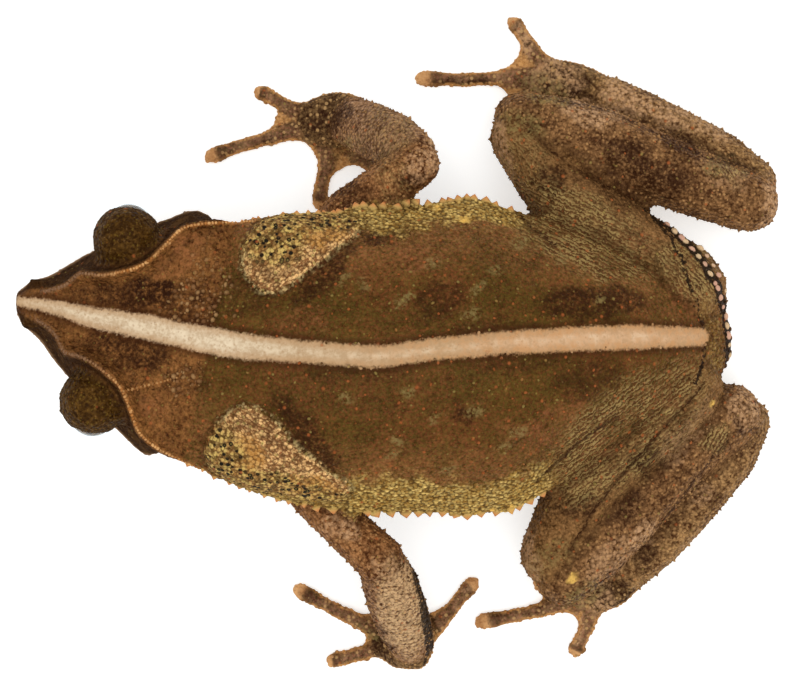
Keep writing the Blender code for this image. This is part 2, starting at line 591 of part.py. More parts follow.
def main():
    for obj in list(bpy.data.objects):
        bpy.data.objects.remove(obj)
    pieces, eyes, whole = head_and_trunk()
    for piece in pieces:
        finish(piece, "throat" if piece.name == "lower_jaw" else "skin")
    for eye in eyes:
        finish(eye, "eye")
    grown_from = [whole]
    made = []
    plans = [(name, stations, LIMB_SIDES, LIMB_RING, "limb") for name, stations in LIMBS.items()]
    plans += [(name, stations, FOOT_SIDES, FOOT_RING, "limb") for name, stations in HANDS_AND_FEET.items()]
    for name, points in DIGITS.items():
        sizes = DIGIT_SIZES if len(points) == 4 else DIGIT_SIZES[:2] + DIGIT_SIZES[3:]
        stations = [(point, *size) for point, size in zip(points, sizes)]
        plans.append((name, stations, DIGIT_SIDES, DIGIT_RING, "digit"))
    for name, stations, sides, spacing, look in plans:
        obj = limb(name, stations, sides, spacing)
        uncut = grown(obj, 0.0)
        cut_clear(obj, grown_from)
        grown_from.append(uncut)
        finish(obj, look)
        made.append(obj)
    remove(grown_from)
    toad = bpy.data.collections.new("crested_forest_toad")
    bpy.context.scene.collection.children.link(toad)
    nodes = [*pieces, *eyes, *made]
    centre_over_origin(nodes)
    for obj in nodes:
        bpy.context.scene.collection.objects.unlink(obj)
        toad.objects.link(obj)


main()
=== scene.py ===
"""Looks of a life-size crested forest toad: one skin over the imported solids, with warts, spines and eyes."""

import json
import logging
import math
from collections.abc import Callable
from dataclasses import dataclass, field
from enum import Enum

import bmesh
import bpy
import numpy as np
from bmesh.types import BMesh
from bpy.types import Material, Mesh, Node, NodeSocket, NodeTree, Object
from mathutils import Matrix, Vector, noise
from mathutils.bvhtree import BVHTree

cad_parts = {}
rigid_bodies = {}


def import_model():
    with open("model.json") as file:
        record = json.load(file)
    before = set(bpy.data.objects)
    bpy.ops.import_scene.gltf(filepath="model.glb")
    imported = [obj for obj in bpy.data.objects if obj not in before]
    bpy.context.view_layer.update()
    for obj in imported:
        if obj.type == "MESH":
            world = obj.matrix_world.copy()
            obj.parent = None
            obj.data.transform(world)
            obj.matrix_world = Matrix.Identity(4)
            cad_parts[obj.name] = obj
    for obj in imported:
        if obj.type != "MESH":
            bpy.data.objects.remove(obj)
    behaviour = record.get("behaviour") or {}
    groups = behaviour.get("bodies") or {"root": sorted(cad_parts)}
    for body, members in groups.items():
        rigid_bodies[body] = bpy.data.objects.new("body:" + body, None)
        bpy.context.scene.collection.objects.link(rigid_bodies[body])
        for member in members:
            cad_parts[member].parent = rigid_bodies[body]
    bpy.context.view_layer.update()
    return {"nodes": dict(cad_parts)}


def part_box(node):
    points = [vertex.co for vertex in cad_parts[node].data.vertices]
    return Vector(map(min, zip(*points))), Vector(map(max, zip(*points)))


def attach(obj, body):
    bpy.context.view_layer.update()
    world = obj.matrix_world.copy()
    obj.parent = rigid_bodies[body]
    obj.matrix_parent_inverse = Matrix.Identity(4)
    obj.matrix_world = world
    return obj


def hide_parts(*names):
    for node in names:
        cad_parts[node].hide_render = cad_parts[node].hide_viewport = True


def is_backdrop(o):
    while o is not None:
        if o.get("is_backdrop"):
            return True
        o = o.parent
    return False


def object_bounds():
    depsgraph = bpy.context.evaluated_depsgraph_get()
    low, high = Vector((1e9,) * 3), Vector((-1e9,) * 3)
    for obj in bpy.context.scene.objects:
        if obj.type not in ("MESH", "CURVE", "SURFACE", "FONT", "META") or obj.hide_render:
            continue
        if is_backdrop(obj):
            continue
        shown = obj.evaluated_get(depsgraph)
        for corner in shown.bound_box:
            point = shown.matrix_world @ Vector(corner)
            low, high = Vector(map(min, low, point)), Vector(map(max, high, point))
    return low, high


LOG = logging.getLogger("toad")
MM = 0.001
MIDDLE = (0.196, 0.083)  # millimetres from the toad's own axes to the frame's origin
# The view from above: units per millimetre at the height where they hold, its centre, the camera's height.
PHOTO_SCALE, SCALE_HEIGHT, PHOTO_CENTRE, CAMERA_HEIGHT = 12.0, 10.0, (398.0, 344.0), 450.0
CHART_GAP = 0.4
Array = np.ndarray
Triple = tuple[float, float, float]
Colour = Triple
Pairs = tuple[tuple[float, float], ...]
Tones = tuple[Colour, Colour]


class Region(Enum):
    """The groups of solids that the skin's finish tells apart."""

    HEAD = ("head",)
    JAW = ("lower_jaw",)
    TRUNK = ("torso", "rump")
    THIGH = ("thigh",)
    SHANK = ("shank",)
    TARSUS = ("tarsus",)
    UPPER_ARM = ("upper_arm",)
    FOREARM = ("forearm",)
    PALM = ("hand", "foot")
    DIGIT = ("finger", "toe")

    @classmethod
    def of(cls, node: str) -> "Region":
        """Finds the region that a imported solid's name starts with."""
        return next(region for region in cls if node.startswith(region.value))


def ease(value: Array, start: float, end: float) -> Array:
    """Eases numbers from 0 at start to 1 at end; end may be the smaller one."""
    t = np.clip((value - start) / (end - start), 0.0, 1.0)
    return t * t * (3 - 2 * t)


def unit(vectors: Array) -> Array:
    """Gives vectors the length 1."""
    return vectors / np.linalg.norm(vectors, axis=-1, keepdims=True)


def bell(value: Array, width: float) -> Array:
    """Gives 1 at 0, falling softly to both sides."""
    return np.exp(-((value / width) ** 2))


def eased_into(points: Array, low: Array, high: Array, margin: float = 0.22) -> Array:
    """Draws points softly into a box, so that nothing is cut flat at its sides.

    Args:
        points: the points.
        low: lower corner of the box.
        high: upper corner of the box.
        margin: depth of the soft zone at the sides.

    Returns:
        The points inside the box.
    """
    points = np.clip(points, (-np.inf, -np.inf, low[2]), (np.inf, np.inf, high[2]))
    for axis in (0, 1):
        over = points[:, axis] - (high[axis] - margin)
        points[:, axis] -= np.where(over > 0, over - margin * (1 - np.exp(-over / margin)), 0)
        over = (low[axis] + margin) - points[:, axis]
        points[:, axis] += np.where(over > 0, over - margin * (1 - np.exp(-over / margin)), 0)
    return points


def from_photo(pixels: Pairs, height: float) -> Array:
    """Turns places in the view from above into the frame's millimetres.

    Args:
        pixels: places in the view, right and down.
        height: how far above the floor they lie, in millimetres.

    Returns:
        One x and y per place.
    """
    scale = PHOTO_SCALE * (CAMERA_HEIGHT - SCALE_HEIGHT) / (CAMERA_HEIGHT - height)
    places = np.array(pixels, float) - PHOTO_CENTRE
    return places * (1, -1) / scale - MIDDLE


@dataclass(frozen=True)
class Profile:
    """A smooth curve through pairs of place and value that doesn't overshoot."""

    pairs: Pairs

    def __call__(self, at: Array) -> Array:
        """Reads the curve.

        Args:
            at: places.

        Returns:
            The curve's values there.
        """
        x, y = np.array(self.pairs, float).T
        step, rise = np.diff(x), np.diff(y) / np.diff(x)
        tangent = np.concatenate([[rise[0]], np.zeros(len(x) - 2), [rise[-1]]])
        for i in range(1, len(x) - 1):
            if rise[i - 1] * rise[i] > 0:
                a, b = 2 * step[i] + step[i - 1], step[i] + 2 * step[i - 1]
                tangent[i] = (a + b) / (a / rise[i - 1] + b / rise[i])
        i = np.clip(np.searchsorted(x, at) - 1, 0, len(step) - 1)
        t = np.clip((at - x[i]) / step[i], 0.0, 1.0)
        low = (1 + 2 * t) * (1 - t) ** 2 * y[i] + t * (1 - t) ** 2 * step[i] * tangent[i]
        return low + t * t * (3 - 2 * t) * y[i + 1] + t * t * (t - 1) * step[i] * tangent[i + 1]


@dataclass
class BodyLine:
    """The curved midline of the back, and what is measured along it from the snout, in millimetres."""

    spine: Pairs = ((-31.7, 3.6), (-19.1, 1.0), (-12.2, -0.45), (-4.0, -1.4), (4.3, -1.2), (16.6, 0.0),
        (28.0, 0.5))
    edge_width: Profile = Profile(((0, 0.4), (1.2, 1.05), (2.7, 1.5), (3.9, 2.15), (5.2, 3.45), (6.2, 3.5),
        (7.2, 3.7), (8.3, 4.15), (9.3, 4.65), (10.2, 5.3), (10.9, 6.2), (11.6, 7.3), (12.5, 8.6), (13.7, 9.3),
        (15, 9.75), (17.5, 10.4), (20, 11.1), (24.3, 12.0), (28.4, 12.3), (32.5, 12.45), (36.6, 12.8),
        (39, 13.0), (41, 12.7), (43.5, 11.7), (47, 10.4), (51, 9.0), (55, 7.1), (58, 4.7), (59.6, 2.6),
        (60.2, 1.2)))
    edge_height: Profile = Profile(((0, 11.5), (1.2, 12.1), (2.7, 13.2), (5.2, 15.3), (8, 16.4), (10.2, 16.9),
        (12.4, 17.0), (15, 16.4), (18, 15.8), (24, 14.4), (30, 13.1), (36, 11.9), (41, 10.9), (47, 9.6),
        (52, 8.2), (57, 6.8), (60.2, 6.4)))
    lip_height: Profile = Profile(((0, 10.9), (2, 10.6), (5, 10.2), (9, 9.5), (13, 9.0), (17, 9.2)))
    step: float = 0.1
    chunk: int = 8000
    stations: Array = field(init=False)
    points: Array = field(init=False)
    along: Array = field(init=False)

    def __post_init__(self) -> None:
        """Samples the midline."""
        knots = np.array(self.spine)
        length = np.concatenate([[0], np.cumsum(np.linalg.norm(np.diff(knots, axis=0), axis=1))])
        self.stations = np.arange(0, length[-1], self.step)
        curves = [Profile(tuple(zip(length, knots[:, k])))(self.stations) for k in (0, 1)]
        self.points = np.stack(curves, 1) - MIDDLE
        self.along = unit(np.gradient(self.points, axis=0))

    def locate(self, places: Array) -> tuple[Array, Array]:
        """Measures places along and across the body.

        Args:
            places: points in millimetres; only x and y count.

        Returns:
            The distance from the snout, and the distance to the toad's right.
        """
        distance, across = np.empty(len(places)), np.empty(len(places))
        for start in range(0, len(places), self.chunk):
            rows = slice(start, start + self.chunk)
            gap = ((places[rows, None, :2] - self.points[None, ::4]) ** 2).sum(2)
            i = gap.argmin(1) * 4
            offset = places[rows, :2] - self.points[i]
            distance[rows] = self.stations[i] + (offset * self.along[i]).sum(1)
            across[rows] = offset[:, 1] * self.along[i, 0] - offset[:, 0] * self.along[i, 1]
        return distance, across

    def beside(self, s: Array, across: Array) -> Array:
        """Measures how far places lie outside the back's edge, square to it."""
        slope = (self.edge_width(s + 0.2) - self.edge_width(s - 0.2)) / 0.4
        return (np.abs(across) - self.edge_width(s)) / np.sqrt(1 + slope**2)

    def above_mouth(self, points: Array, s: Array) -> Array:
        """Measures how far points lie above the line of the mouth."""
        return points[:, 2] - (self.lip_height(s) - 0.45)

    def place(self, s: float, across: float, height: float) -> Array:
        """Gives a frame point for a place on the body.

        Args:
            s: distance from the snout.
            across: distance to the toad's right.
            height: height above the floor.

        Returns:
            The point in millimetres.
        """
        i = int(np.clip(round(s / self.step), 0, len(self.stations) - 1))
        x, y = self.points[i] + self.along[i] * (s - self.stations[i])
        right = (-self.along[i, 1], self.along[i, 0])
        return np.array([x + right[0] * across, y + right[1] * across, height])


def nearest_on(points: Array, a: Array, b: Array) -> tuple[Array, Array]:
    """Finds how far along the segment from a to b each point lies, from 0 to 1, and its distance to it."""
    t = np.clip((points[:, :2] - a) @ (b - a) / ((b - a) @ (b - a)), 0, 1)
    return t, np.linalg.norm(points[:, :2] - a - t[:, None] * (b - a), axis=1)


@dataclass(frozen=True)
class Outline:
    """A closed outline seen from above."""

    corners: Pairs
    height: float

    def depth(self, places: Array) -> Array:
        """Measures how far places lie inside the outline.

        Args:
            places: points in millimetres; only x and y count.

        Returns:
            The distance to the outline, negative outside it.
        """
        ring = from_photo(self.corners, self.height)
        nearest = np.full(len(places), 1e9)
        inside = np.zeros(len(places), bool)
        for a, b in zip(ring, np.roll(ring, -1, 0)):
            nearest = np.minimum(nearest, nearest_on(places, a, b)[1])
            crosses = (a[1] > places[:, 1]) != (b[1] > places[:, 1])
            with np.errstate(divide="ignore", invalid="ignore"):
                left = places[:, 0] < (b[0] - a[0]) * (places[:, 1] - a[1]) / (b[1] - a[1]) + a[0]
            inside ^= crosses & left
        return np.where(inside, nearest, -nearest)


@dataclass(frozen=True)
class Patch:
    """A soft oval patch of a marking: place in the view from above, half length, half width and turn."""

    x: float
    y: float
    length: float
    width: float
    turn: float = 0.0
    strength: float = 1.0

    def mask(self, places: Array, height: float) -> Array:
        """Evaluates the patch.

        Args:
            places: points in millimetres; only x and y count.
            height: the height above the floor that the patch was read at.

        Returns:
            1 inside the patch, falling softly to 0 outside it.
        """
        offset = places[:, :2] - from_photo(((self.x, self.y),), height)[0]
        c, s = math.cos(math.radians(self.turn)), math.sin(math.radians(self.turn))
        u = (offset[:, 0] * c + offset[:, 1] * s) / (self.length / PHOTO_SCALE)
        v = (offset[:, 1] * c - offset[:, 0] * s) / (self.width / PHOTO_SCALE)
        return self.strength * ease(np.sqrt(u * u + v * v), 1.25, 0.75)


def patches(*rows: tuple[float, ...]) -> tuple[Patch, ...]:
    """Makes patches from rows of their numbers."""
    return tuple(Patch(*row) for row in rows)


def ripple(places: Array, size: float, seed: float = 0.0) -> Array:
    """Gives smooth noise from about -1 to 1; its size is in millimetres, and the seed shifts its pattern."""
    return np.array([noise.noise(Vector(p)) for p in places / size + seed]) * 1.6


@dataclass
class SkinSurface:
    """A mesh held as arrays in millimetres, which is smoothed and shaped before it becomes an object."""

    points: Array
    edges: Array
    faces: list[tuple[int, ...]]

    @classmethod
    def of(cls, mesh: Mesh) -> "SkinSurface":
        """Reads a mesh.

        Args:
            mesh: mesh in metres.

        Returns:
            The same surface in millimetres.
        """
        points = np.empty(len(mesh.vertices) * 3)
        mesh.vertices.foreach_get("co", points)
        edges = np.empty(len(mesh.edges) * 2, int)
        mesh.edges.foreach_get("vertices", edges)
        faces = [tuple(polygon.vertices) for polygon in mesh.polygons]
        return cls(points.reshape(-1, 3) / MM, edges.reshape(-1, 2), faces)

    def triangles(self) -> Array:
        """Gives the faces as fans of triangles."""
        return np.array([(f[0], f[k], f[k + 1]) for f in self.faces for k in range(1, len(f) - 1)])

    def normals(self) -> Array:
        """Gives the unit normal at each point."""
        corners = self.triangles()
        a, b, c = (self.points[corners[:, k]] for k in range(3))
        face = np.cross(b - a, c - a)
        total = np.stack([np.bincount(corners.ravel(), np.repeat(face[:, k], 3), len(self.points))
            for k in range(3)], 1)
        return total / np.maximum(np.linalg.norm(total, axis=1), 1e-12)[:, None]

    def averaged(self, values: Array) -> Array:
        """Averages values over each point's neighbours.

        Args:
            values: one number, or one row of numbers, per point.

        Returns:
            The neighbours' mean at each point.
        """
        rows = values.reshape(len(self.points), -1)
        a, b = self.edges.T
        count = np.bincount(self.edges.ravel(), minlength=len(self.points))
        sums = [np.bincount(a, rows[b, k], len(rows)) + np.bincount(b, rows[a, k], len(rows))
            for k in range(rows.shape[1])]
        return (np.stack(sums, 1) / np.maximum(count, 1)[:, None]).reshape(values.shape)

    def smooth(self, rounds: int, keep: Array | None = None) -> None:
        """Smooths the surface without shrinking it.

        Args:
            rounds: how many pairs of steps to take, one inward and one outward.
            keep: share of each point's place to hold, from 0 to 1.
        """
        free = 1.0 if keep is None else (1 - keep)[:, None]
        for _ in range(rounds):
            for amount in (0.5, -0.53):
                self.points = self.points + (self.averaged(self.points) - self.points) * amount * free

    def spread(self, mask: Array, rounds: int) -> Array:
        """Softens a mask over the surface in some rounds."""
        for _ in range(rounds):
            mask = (mask + self.averaged(mask)) / 2
        return mask


@dataclass(frozen=True)
class Web:
    """The thin fold of skin between two digits, given by its corners seen from above."""

    corners: Pairs
    thickness: float = 0.75
    floor_gap: float = 0.1

    def add_to(self, made: BMesh) -> None:
        """Adds the web as a closed slab.

        Args:
            made: mesh in metres to add it to.
        """
        ring = from_photo(self.corners, 1.0)
        low, high = ([made.verts.new((x * MM, y * MM, height * MM)) for x, y in ring]
            for height in (self.floor_gap, self.floor_gap + self.thickness))
        made.faces.new(low)
        made.faces.new(high)
        for k in range(len(ring)):
            n = (k + 1) % len(ring)
            made.faces.new((low[k], low[n], high[n], high[k]))


WEBS = (Web(((520, 40), (516, 56), (508, 64), (496, 69), (500, 82), (540, 90), (556, 60), (538, 42))),
    Web(((494, 84), (503, 90), (507, 98), (524, 104), (540, 92), (520, 80))), Web(((528, 604), (545, 611),
    (560, 613), (572, 616), (579, 624), (581, 634), (596, 634), (600, 606), (570, 598))),
    Web(((272, 118), (279, 112), (283, 104), (300, 100), (304, 130), (292, 140), (284, 136), (274, 134))),
    Web(((296, 142), (306, 146), (314, 156), (318, 168), (330, 168), (336, 150), (322, 132), (300, 134))),
    Web(((318, 160), (319, 180), (328, 186), (331, 177), (340, 171), (352, 167), (364, 168), (362, 150),
    (340, 142), (324, 142))),
    Web(((350, 612), (362, 622), (368, 634), (364, 645), (352, 652), (380, 660), (388, 630), (372, 612))),
    Web(((428, 612), (424, 622), (428, 636), (440, 632), (448, 616), (440, 606))))


# Eyes, nostrils, ears and lids: along the body, beside its middle and above the floor, in millimetres.
EYE_PLACE = (8.1, 7.4, 13.3)
NOSTRIL = (1.35, 2.15, 11.7)
EAR = (12.1, 8.95, 12.6)
LID_PLACE, LID_SIZE = (8.1, 6.85, 13.7), (2.95, 2.9, 3.0)


def both_sides(place: Triple) -> tuple[Triple, Triple]:
    """Gives a place on the toad's left and the same one on its right."""
    return (place[0], -place[1], place[2]), place


@dataclass
class Skin:
    """The whole skin: built from the flesh solids, smoothed, shaped and marked."""

    line: BodyLine
    voxel: float = 0.41
    puff: float = 0.2
    eye_room: float = 2.4
    refined_length: float = 17.0
    spike: float = 0.05
    crest_height: float = 0.17
    gland_height: float = 0.3
    gland_groove: float = 0.1
    lip_height: float = 0.1
    mouth_depth: float = 0.22
    crease_depth: float = 0.12
    nostril_depth: float = 0.3
    ear_rim: float = 0.09
    snout_length: float = 0.2
    eye_opening: tuple[float, float] = (1.85, 1.3)
    lid_rim: float = 0.09
    surface: SkinSurface = field(init=False)
    owners: Array = field(init=False)
    outside: Array = field(init=False)
    names: list[str] = field(init=False)
    marks: dict[str, Array] = field(init=False)

    def build(self, nodes: dict[str, Object]) -> None:
        """Makes the surface from the flesh solids.

        Args:
            nodes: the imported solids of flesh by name.
        """
        self.names = sorted(nodes)
        mesh = self.remeshed(nodes)
        self.surface = SkinSurface.of(mesh)
        self.surface.smooth(7)
        self.surface.points -= self.surface.normals() * self.puff
        self.surface.smooth(3)
        self.refine()
        self.find_owners(nodes)
        self.trim()
        low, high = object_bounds()
        self.shape()
        self.surface.points = eased_into(self.surface.points, np.array(low) / MM, np.array(high) / MM)
        self.surface.points[self.surface.points[:, 2] < 0.04, 2] = 0.0

    def remeshed(self, nodes: dict[str, Object]) -> Mesh:
        """Joins the solids and the webs into one closed surface.

        Args:
            nodes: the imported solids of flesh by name.

        Returns:
            The joined mesh in metres.
        """
        whole = bmesh.new()
        for name in self.names:
            part = bmesh.new()
            part.from_mesh(nodes[name].data)
            bmesh.ops.remove_doubles(part, verts=part.verts, dist=0.002 * MM)
            part.normal_update()
            for vert in part.verts:
                vert.co += vert.normal * self.puff * MM
            copy = bpy.data.meshes.new("part")
            part.to_mesh(copy)
            part.free()
            whole.from_mesh(copy)
            bpy.data.meshes.remove(copy)
        for web in WEBS:
            web.add_to(whole)
        for place in both_sides(EYE_PLACE):
            centre = Matrix.Translation(self.line.place(*place) * MM)
            bmesh.ops.create_icosphere(whole, subdivisions=4, radius=self.eye_room * MM, matrix=centre)
        bmesh.ops.recalc_face_normals(whole, faces=whole.faces)
        source = new_object("skin_source", whole)
        remesh = source.modifiers.new("voxels", "REMESH")
        remesh.mode = "VOXEL"
        remesh.voxel_size = self.voxel * MM
        graph = bpy.context.evaluated_depsgraph_get()
        mesh = bpy.data.meshes.new_from_object(source.evaluated_get(graph))
        bpy.data.objects.remove(source)
        return mesh

    def refine(self) -> None:
        """Splits the faces of the head and the digits, so that crests, lids and toe tips are crisp."""
        places = self.surface.points
        s, _ = self.line.locate(places)
        in_head = (s < self.refined_length) & (places[:, 2] > 7.5) & (np.abs(places[:, 1]) < 16)
        in_head |= (np.abs(places[:, 1]) > 13.5) & (places[:, 2] < 2.6)
        made = bmesh.new()
        verts = [made.verts.new(p * MM) for p in self.surface.points]
        for face in self.surface.faces:
            made.faces.new([verts[k] for k in face])
        made.verts.index_update()
        chosen = [e for e in made.edges if in_head[e.verts[0].index] and in_head[e.verts[1].index]]
        bmesh.ops.subdivide_edges(made, edges=chosen, cuts=1, use_grid_fill=True)
        bmesh.ops.triangulate(made, faces=[f for f in made.faces if len(f.verts) > 4])
        mesh = bpy.data.meshes.new("refined")
        made.to_mesh(mesh)
        made.free()
        self.surface = SkinSurface.of(mesh)
        bpy.data.meshes.remove(mesh)
        s, _ = self.line.locate(self.surface.points)
        fixed = ease(s, 17.0, 19.0) * ease(self.surface.points[:, 2], 2.6, 3.0)
        self.surface.smooth(3, keep=fixed)
        self.surface.smooth(7, keep=ease(self.surface.points[:, 2], 2.2, 2.6))

    def find_owners(self, nodes: dict[str, Object]) -> None:
        """Notes which solid each point of the skin lies on.

        Args:
            nodes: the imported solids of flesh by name.
        """
        points, faces, owner = [], [], []
        for index, name in enumerate(self.names):
            mesh = nodes[name].data
            first = len(points)
            points += [tuple(v.co) for v in mesh.vertices]
            faces += [tuple(first + k for k in polygon.vertices) for polygon in mesh.polygons]
            owner += [index] * len(mesh.polygons)
        tree = BVHTree.FromPolygons(points, faces)
        found = [tree.find_nearest(p * MM) for p in self.surface.points]
        self.owners = np.array([owner[index] for _, _, index, _ in found])
        self.outside = np.array([distance for _, _, _, distance in found]) / MM

    def share(self, *regions: Region, rounds: int = 4) -> Array:
        """Gives how much each point belongs to some regions, whose borders are softened in some rounds."""
        wanted = np.array([Region.of(name) in regions for name in self.names], float)
        return self.surface.spread(wanted[self.owners], rounds)

    def trim(self) -> None:
        """Draws in points that stand out from the trunk alone, such as the tips of its solid tubercles."""
        trunk = self.share(Region.TRUNK, rounds=0) > 0.5
        for _ in range(14):
            mean = self.surface.averaged(self.surface.points)
            alone = trunk & (np.linalg.norm(self.surface.points - mean, axis=1) > self.spike)
            self.surface.points[alone] = mean[alone]

    def shape(self) -> None:
        """Raises the crests, glands and lips, and presses in the line of the mouth."""
        surface, line = self.surface, self.line
        points, normals = surface.points, surface.normals()
        z, up = points[:, 2], normals[:, 2]
        s, v = line.locate(points)
        head = self.share(Region.HEAD, Region.JAW, rounds=3)
        level = ease(np.abs(z - line.edge_height(s)), 2.2, 1.0)
        ridge = self.crest_height * bell(line.beside(s, v) + 0.1, 0.22) * ease(s, 1.8, 3.2)
        ridge = ridge * ease(s, 17.6, 15.5) * level
        gland = gland_depth(points)
        upper = ease(up, 0.0, 0.3) * ease(z, 10, 12)
        swelling = self.gland_height * ease(gland, -0.15, 0.6) * upper
        swelling -= self.gland_groove * bell(gland + 0.2, 0.25) * upper
        mouth = line.above_mouth(points, s)
        side = ease(np.abs(up), 0.95, 0.7) * ease(s, 14.6, 13.8) * head
        lips = self.lip_height * bell(np.abs(mouth) - 0.45, 0.25) - self.mouth_depth * bell(mouth, 0.17)
        lips *= side
        lumps = 0.03 * ripple(points, 1.6) * (1 - 0.6 * head) + 0.022 * ripple(points, 0.7, 9.1)
        dents = -self.crease_depth * np.max([bell(crease.distance(points)[0], 0.32) for crease in CREASES],
            axis=0)
        dents *= ease(up, 0.0, 0.4)
        along, way = self.reaches()
        tip = ease(along, 0.8, 0.92) * self.share(Region.DIGIT, rounds=1)
        facing = np.clip((normals * way).sum(1), 0, 1)
        pad = ease(along, 0.7, 0.86) * (0.1 - 0.09 * ease(along, 0.93, 1.0)) * np.sqrt(1 - facing**2)
        pad += 0.05 + 0.17 * ease(along, 0.85, 0.98) * facing**2
        pad *= self.share(Region.DIGIT, rounds=2)
        nostril, ear = self.spot(NOSTRIL), self.spot(EAR)
        holes = -self.nostril_depth * ease(nostril, 0.34, 0.12) + 0.07 * bell(nostril - 0.48, 0.14)
        holes += self.ear_rim * bell(ear - 1.05, 0.16) - 0.1 * ease(ear, 0.95, 0.6)
        snout = self.snout_length * ease(s, 1.4, 0.2) * head
        height = ridge + swelling + lips + lumps + dents + pad + holes + snout
        surface.points = points + normals * height[:, None]
        surface.smooth(5, keep=1 - tip)
        self.open_eyes()

    def reaches(self) -> tuple[Array, Array]:
        """Measures how far along its digit each point lies.

        Returns:
            Numbers from 0 at the base to 1 at the tip, and the way that each digit points.
        """
        along, ways = np.zeros(len(self.owners)), np.zeros((len(self.owners), 3))
        for index, name in enumerate(self.names):
            if Region.of(name) is not Region.DIGIT:
                continue
            palm = ("hand" if name.startswith("finger") else "foot") + name[name.rindex("_"):]
            centre = self.surface.points[self.owners == self.names.index(palm)].mean(0)
            chosen = self.owners == index
            offset = self.surface.points[chosen] - centre
            reach = np.linalg.norm(offset, axis=1)
            along[chosen] = (reach - reach.min()) / (reach.max() - reach.min())
            ways[chosen] = unit(offset[along[chosen] > 0.9].mean(0) - offset[along[chosen] < 0.3].mean(0))
        return self.surface.spread(along, 2), ways

    def spot(self, place: Triple) -> Array:
        """Measures the distance from a place, along, across and above the floor, that both sides have."""
        centres = [self.line.place(*each) for each in both_sides(place)]
        return np.min([np.linalg.norm(self.surface.points - centre, axis=1) for centre in centres], axis=0)

    def open_eyes(self) -> None:
        """Sinks the skin in front of each eye, so that the eyeball shows between two rounded lids."""
        points = self.surface.points
        s, v = self.line.locate(points)
        for side in (-1, 1):
            centre = self.line.place(EYE_PLACE[0], side * EYE_PLACE[1], EYE_PLACE[2])
            offset = points - centre
            distance = np.linalg.norm(offset, axis=1)
            ring = np.hypot((s - EYE_PLACE[0]) / self.eye_opening[0],
                (points[:, 2] - EYE_PLACE[2] + 0.1) / self.eye_opening[1])
            near = (v * side > EYE_PLACE[1]) & (distance < 4.0)
            sunk = ease(ring, 1.04, 0.86) * near * (1.5 - distance)
            lid = bell(ring - 1.14, 0.09) * near * self.lid_rim
            points = points + offset * ((sunk + lid) / distance)[:, None]
        self.surface.points = points


GLAND_RIGHT = Outline(((241, 268), (243, 246), (250, 230), (262, 219), (282, 212), (315, 211), (345, 214),
    (366, 220), (352, 240), (338, 249), (322, 264), (303, 277), (288, 290), (272, 295), (258, 291),
    (248, 280)), 17.0)
GLAND_LEFT = Outline(((204, 456), (208, 438), (218, 422), (232, 410), (246, 404), (260, 408), (280, 425),
    (300, 447), (325, 467), (342, 479), (352, 488), (345, 503), (310, 502), (280, 497), (250, 492),
    (225, 480), (210, 470)), 17.0)


def gland_depth(points: Array) -> Array:
    """Measures how far points lie inside the outline of either gland."""
    return np.maximum(GLAND_RIGHT.depth(points), GLAND_LEFT.depth(points))


def new_object(name: str, made: BMesh | Mesh) -> Object:
    """Puts a mesh in the scene.

    Args:
        name: name of the piece.
        made: its mesh; a BMesh is used up.

    Returns:
        The object.
    """
    if isinstance(made, BMesh):
        mesh = bpy.data.meshes.new(name)
        made.to_mesh(mesh)
        made.free()
    else:
        mesh = made
    obj = bpy.data.objects.new(name, mesh)
    bpy.context.scene.collection.objects.link(obj)
    return obj


def object_from(name: str, points: Array, faces: list[tuple[int, ...]],
                marks: dict[str, Array]) -> Object:
    """Makes a smooth piece that carries marks as point attributes.

    Args:
        name: name of the piece.
        points: its points in millimetres.
        faces: its faces.
        marks: one number per point for each attribute.

    Returns:
        The object.
    """
    mesh = bpy.data.meshes.new(name)
    mesh.from_pydata((points * MM).tolist(), [], faces)
    mesh.polygons.foreach_set("use_smooth", [True] * len(faces))
    for key, values in marks.items():
        mesh.attributes.new(key, "FLOAT", "POINT").data.foreach_set("value", values.astype(np.float32))
    mesh.update()
    return new_object(name, mesh)


def corner_points(mesh: Mesh) -> Array:
    """Gives the point at each corner of each face."""
    points = np.empty(len(mesh.loops), int)
    mesh.loops.foreach_get("vertex_index", points)
    return points


def set_map(mesh: Mesh, places: Array) -> None:
    """Gives a mesh its texture map, one place per corner."""
    mesh.uv_layers.new(name="OFBake").data.foreach_set("uv", places.astype(np.float32).ravel())


def lay_out(obj: Object, points: Array, groups: Array, normals: Array) -> None:
    """Gives a piece its texture map: one flat chart for each group of faces and each way that they face.

    Args:
        obj: the piece.
        points: its points in millimetres.
        groups: one group number per face.
        normals: one normal per face.
    """
    mesh = obj.data
    ways = np.abs(normals).argmax(1)
    charts = groups * 6 + ways * 2 + (normals[np.arange(len(ways)), ways] > 0)
    totals = np.array([polygon.loop_total for polygon in mesh.polygons])
    corner_chart = np.repeat(charts, totals)
    corner_way = np.repeat(ways, totals)
    flat = points[corner_points(mesh)]
    axes = np.array([(1, 2), (0, 2), (0, 1)])[corner_way]
    place = np.stack([flat[np.arange(len(flat)), axes[:, k]] for k in (0, 1)], 1)
    boxes = []
    for chart in np.unique(charts):
        chosen = np.flatnonzero(corner_chart == chart)
        low, high = place[chosen].min(0), place[chosen].max(0)
        boxes.append((high[1] - low[1], high[0] - low[0], chosen, low))
    boxes.sort(key=lambda box: -box[0])
    width = 1.15 * math.sqrt(sum((h + CHART_GAP) * (w + CHART_GAP) for h, w, _, _ in boxes)) + 2
    x = y = row = 0.0
    for height, breadth, chosen, low in boxes:
        if x + breadth + CHART_GAP > width:
            x, y, row = 0.0, y + row, 0.0
        place[chosen] += np.array([x + CHART_GAP / 2, y + CHART_GAP / 2]) - low
        x, row = x + breadth + CHART_GAP, max(row, height + CHART_GAP)
    place /= max(width, y + row)
    set_map(mesh, place)


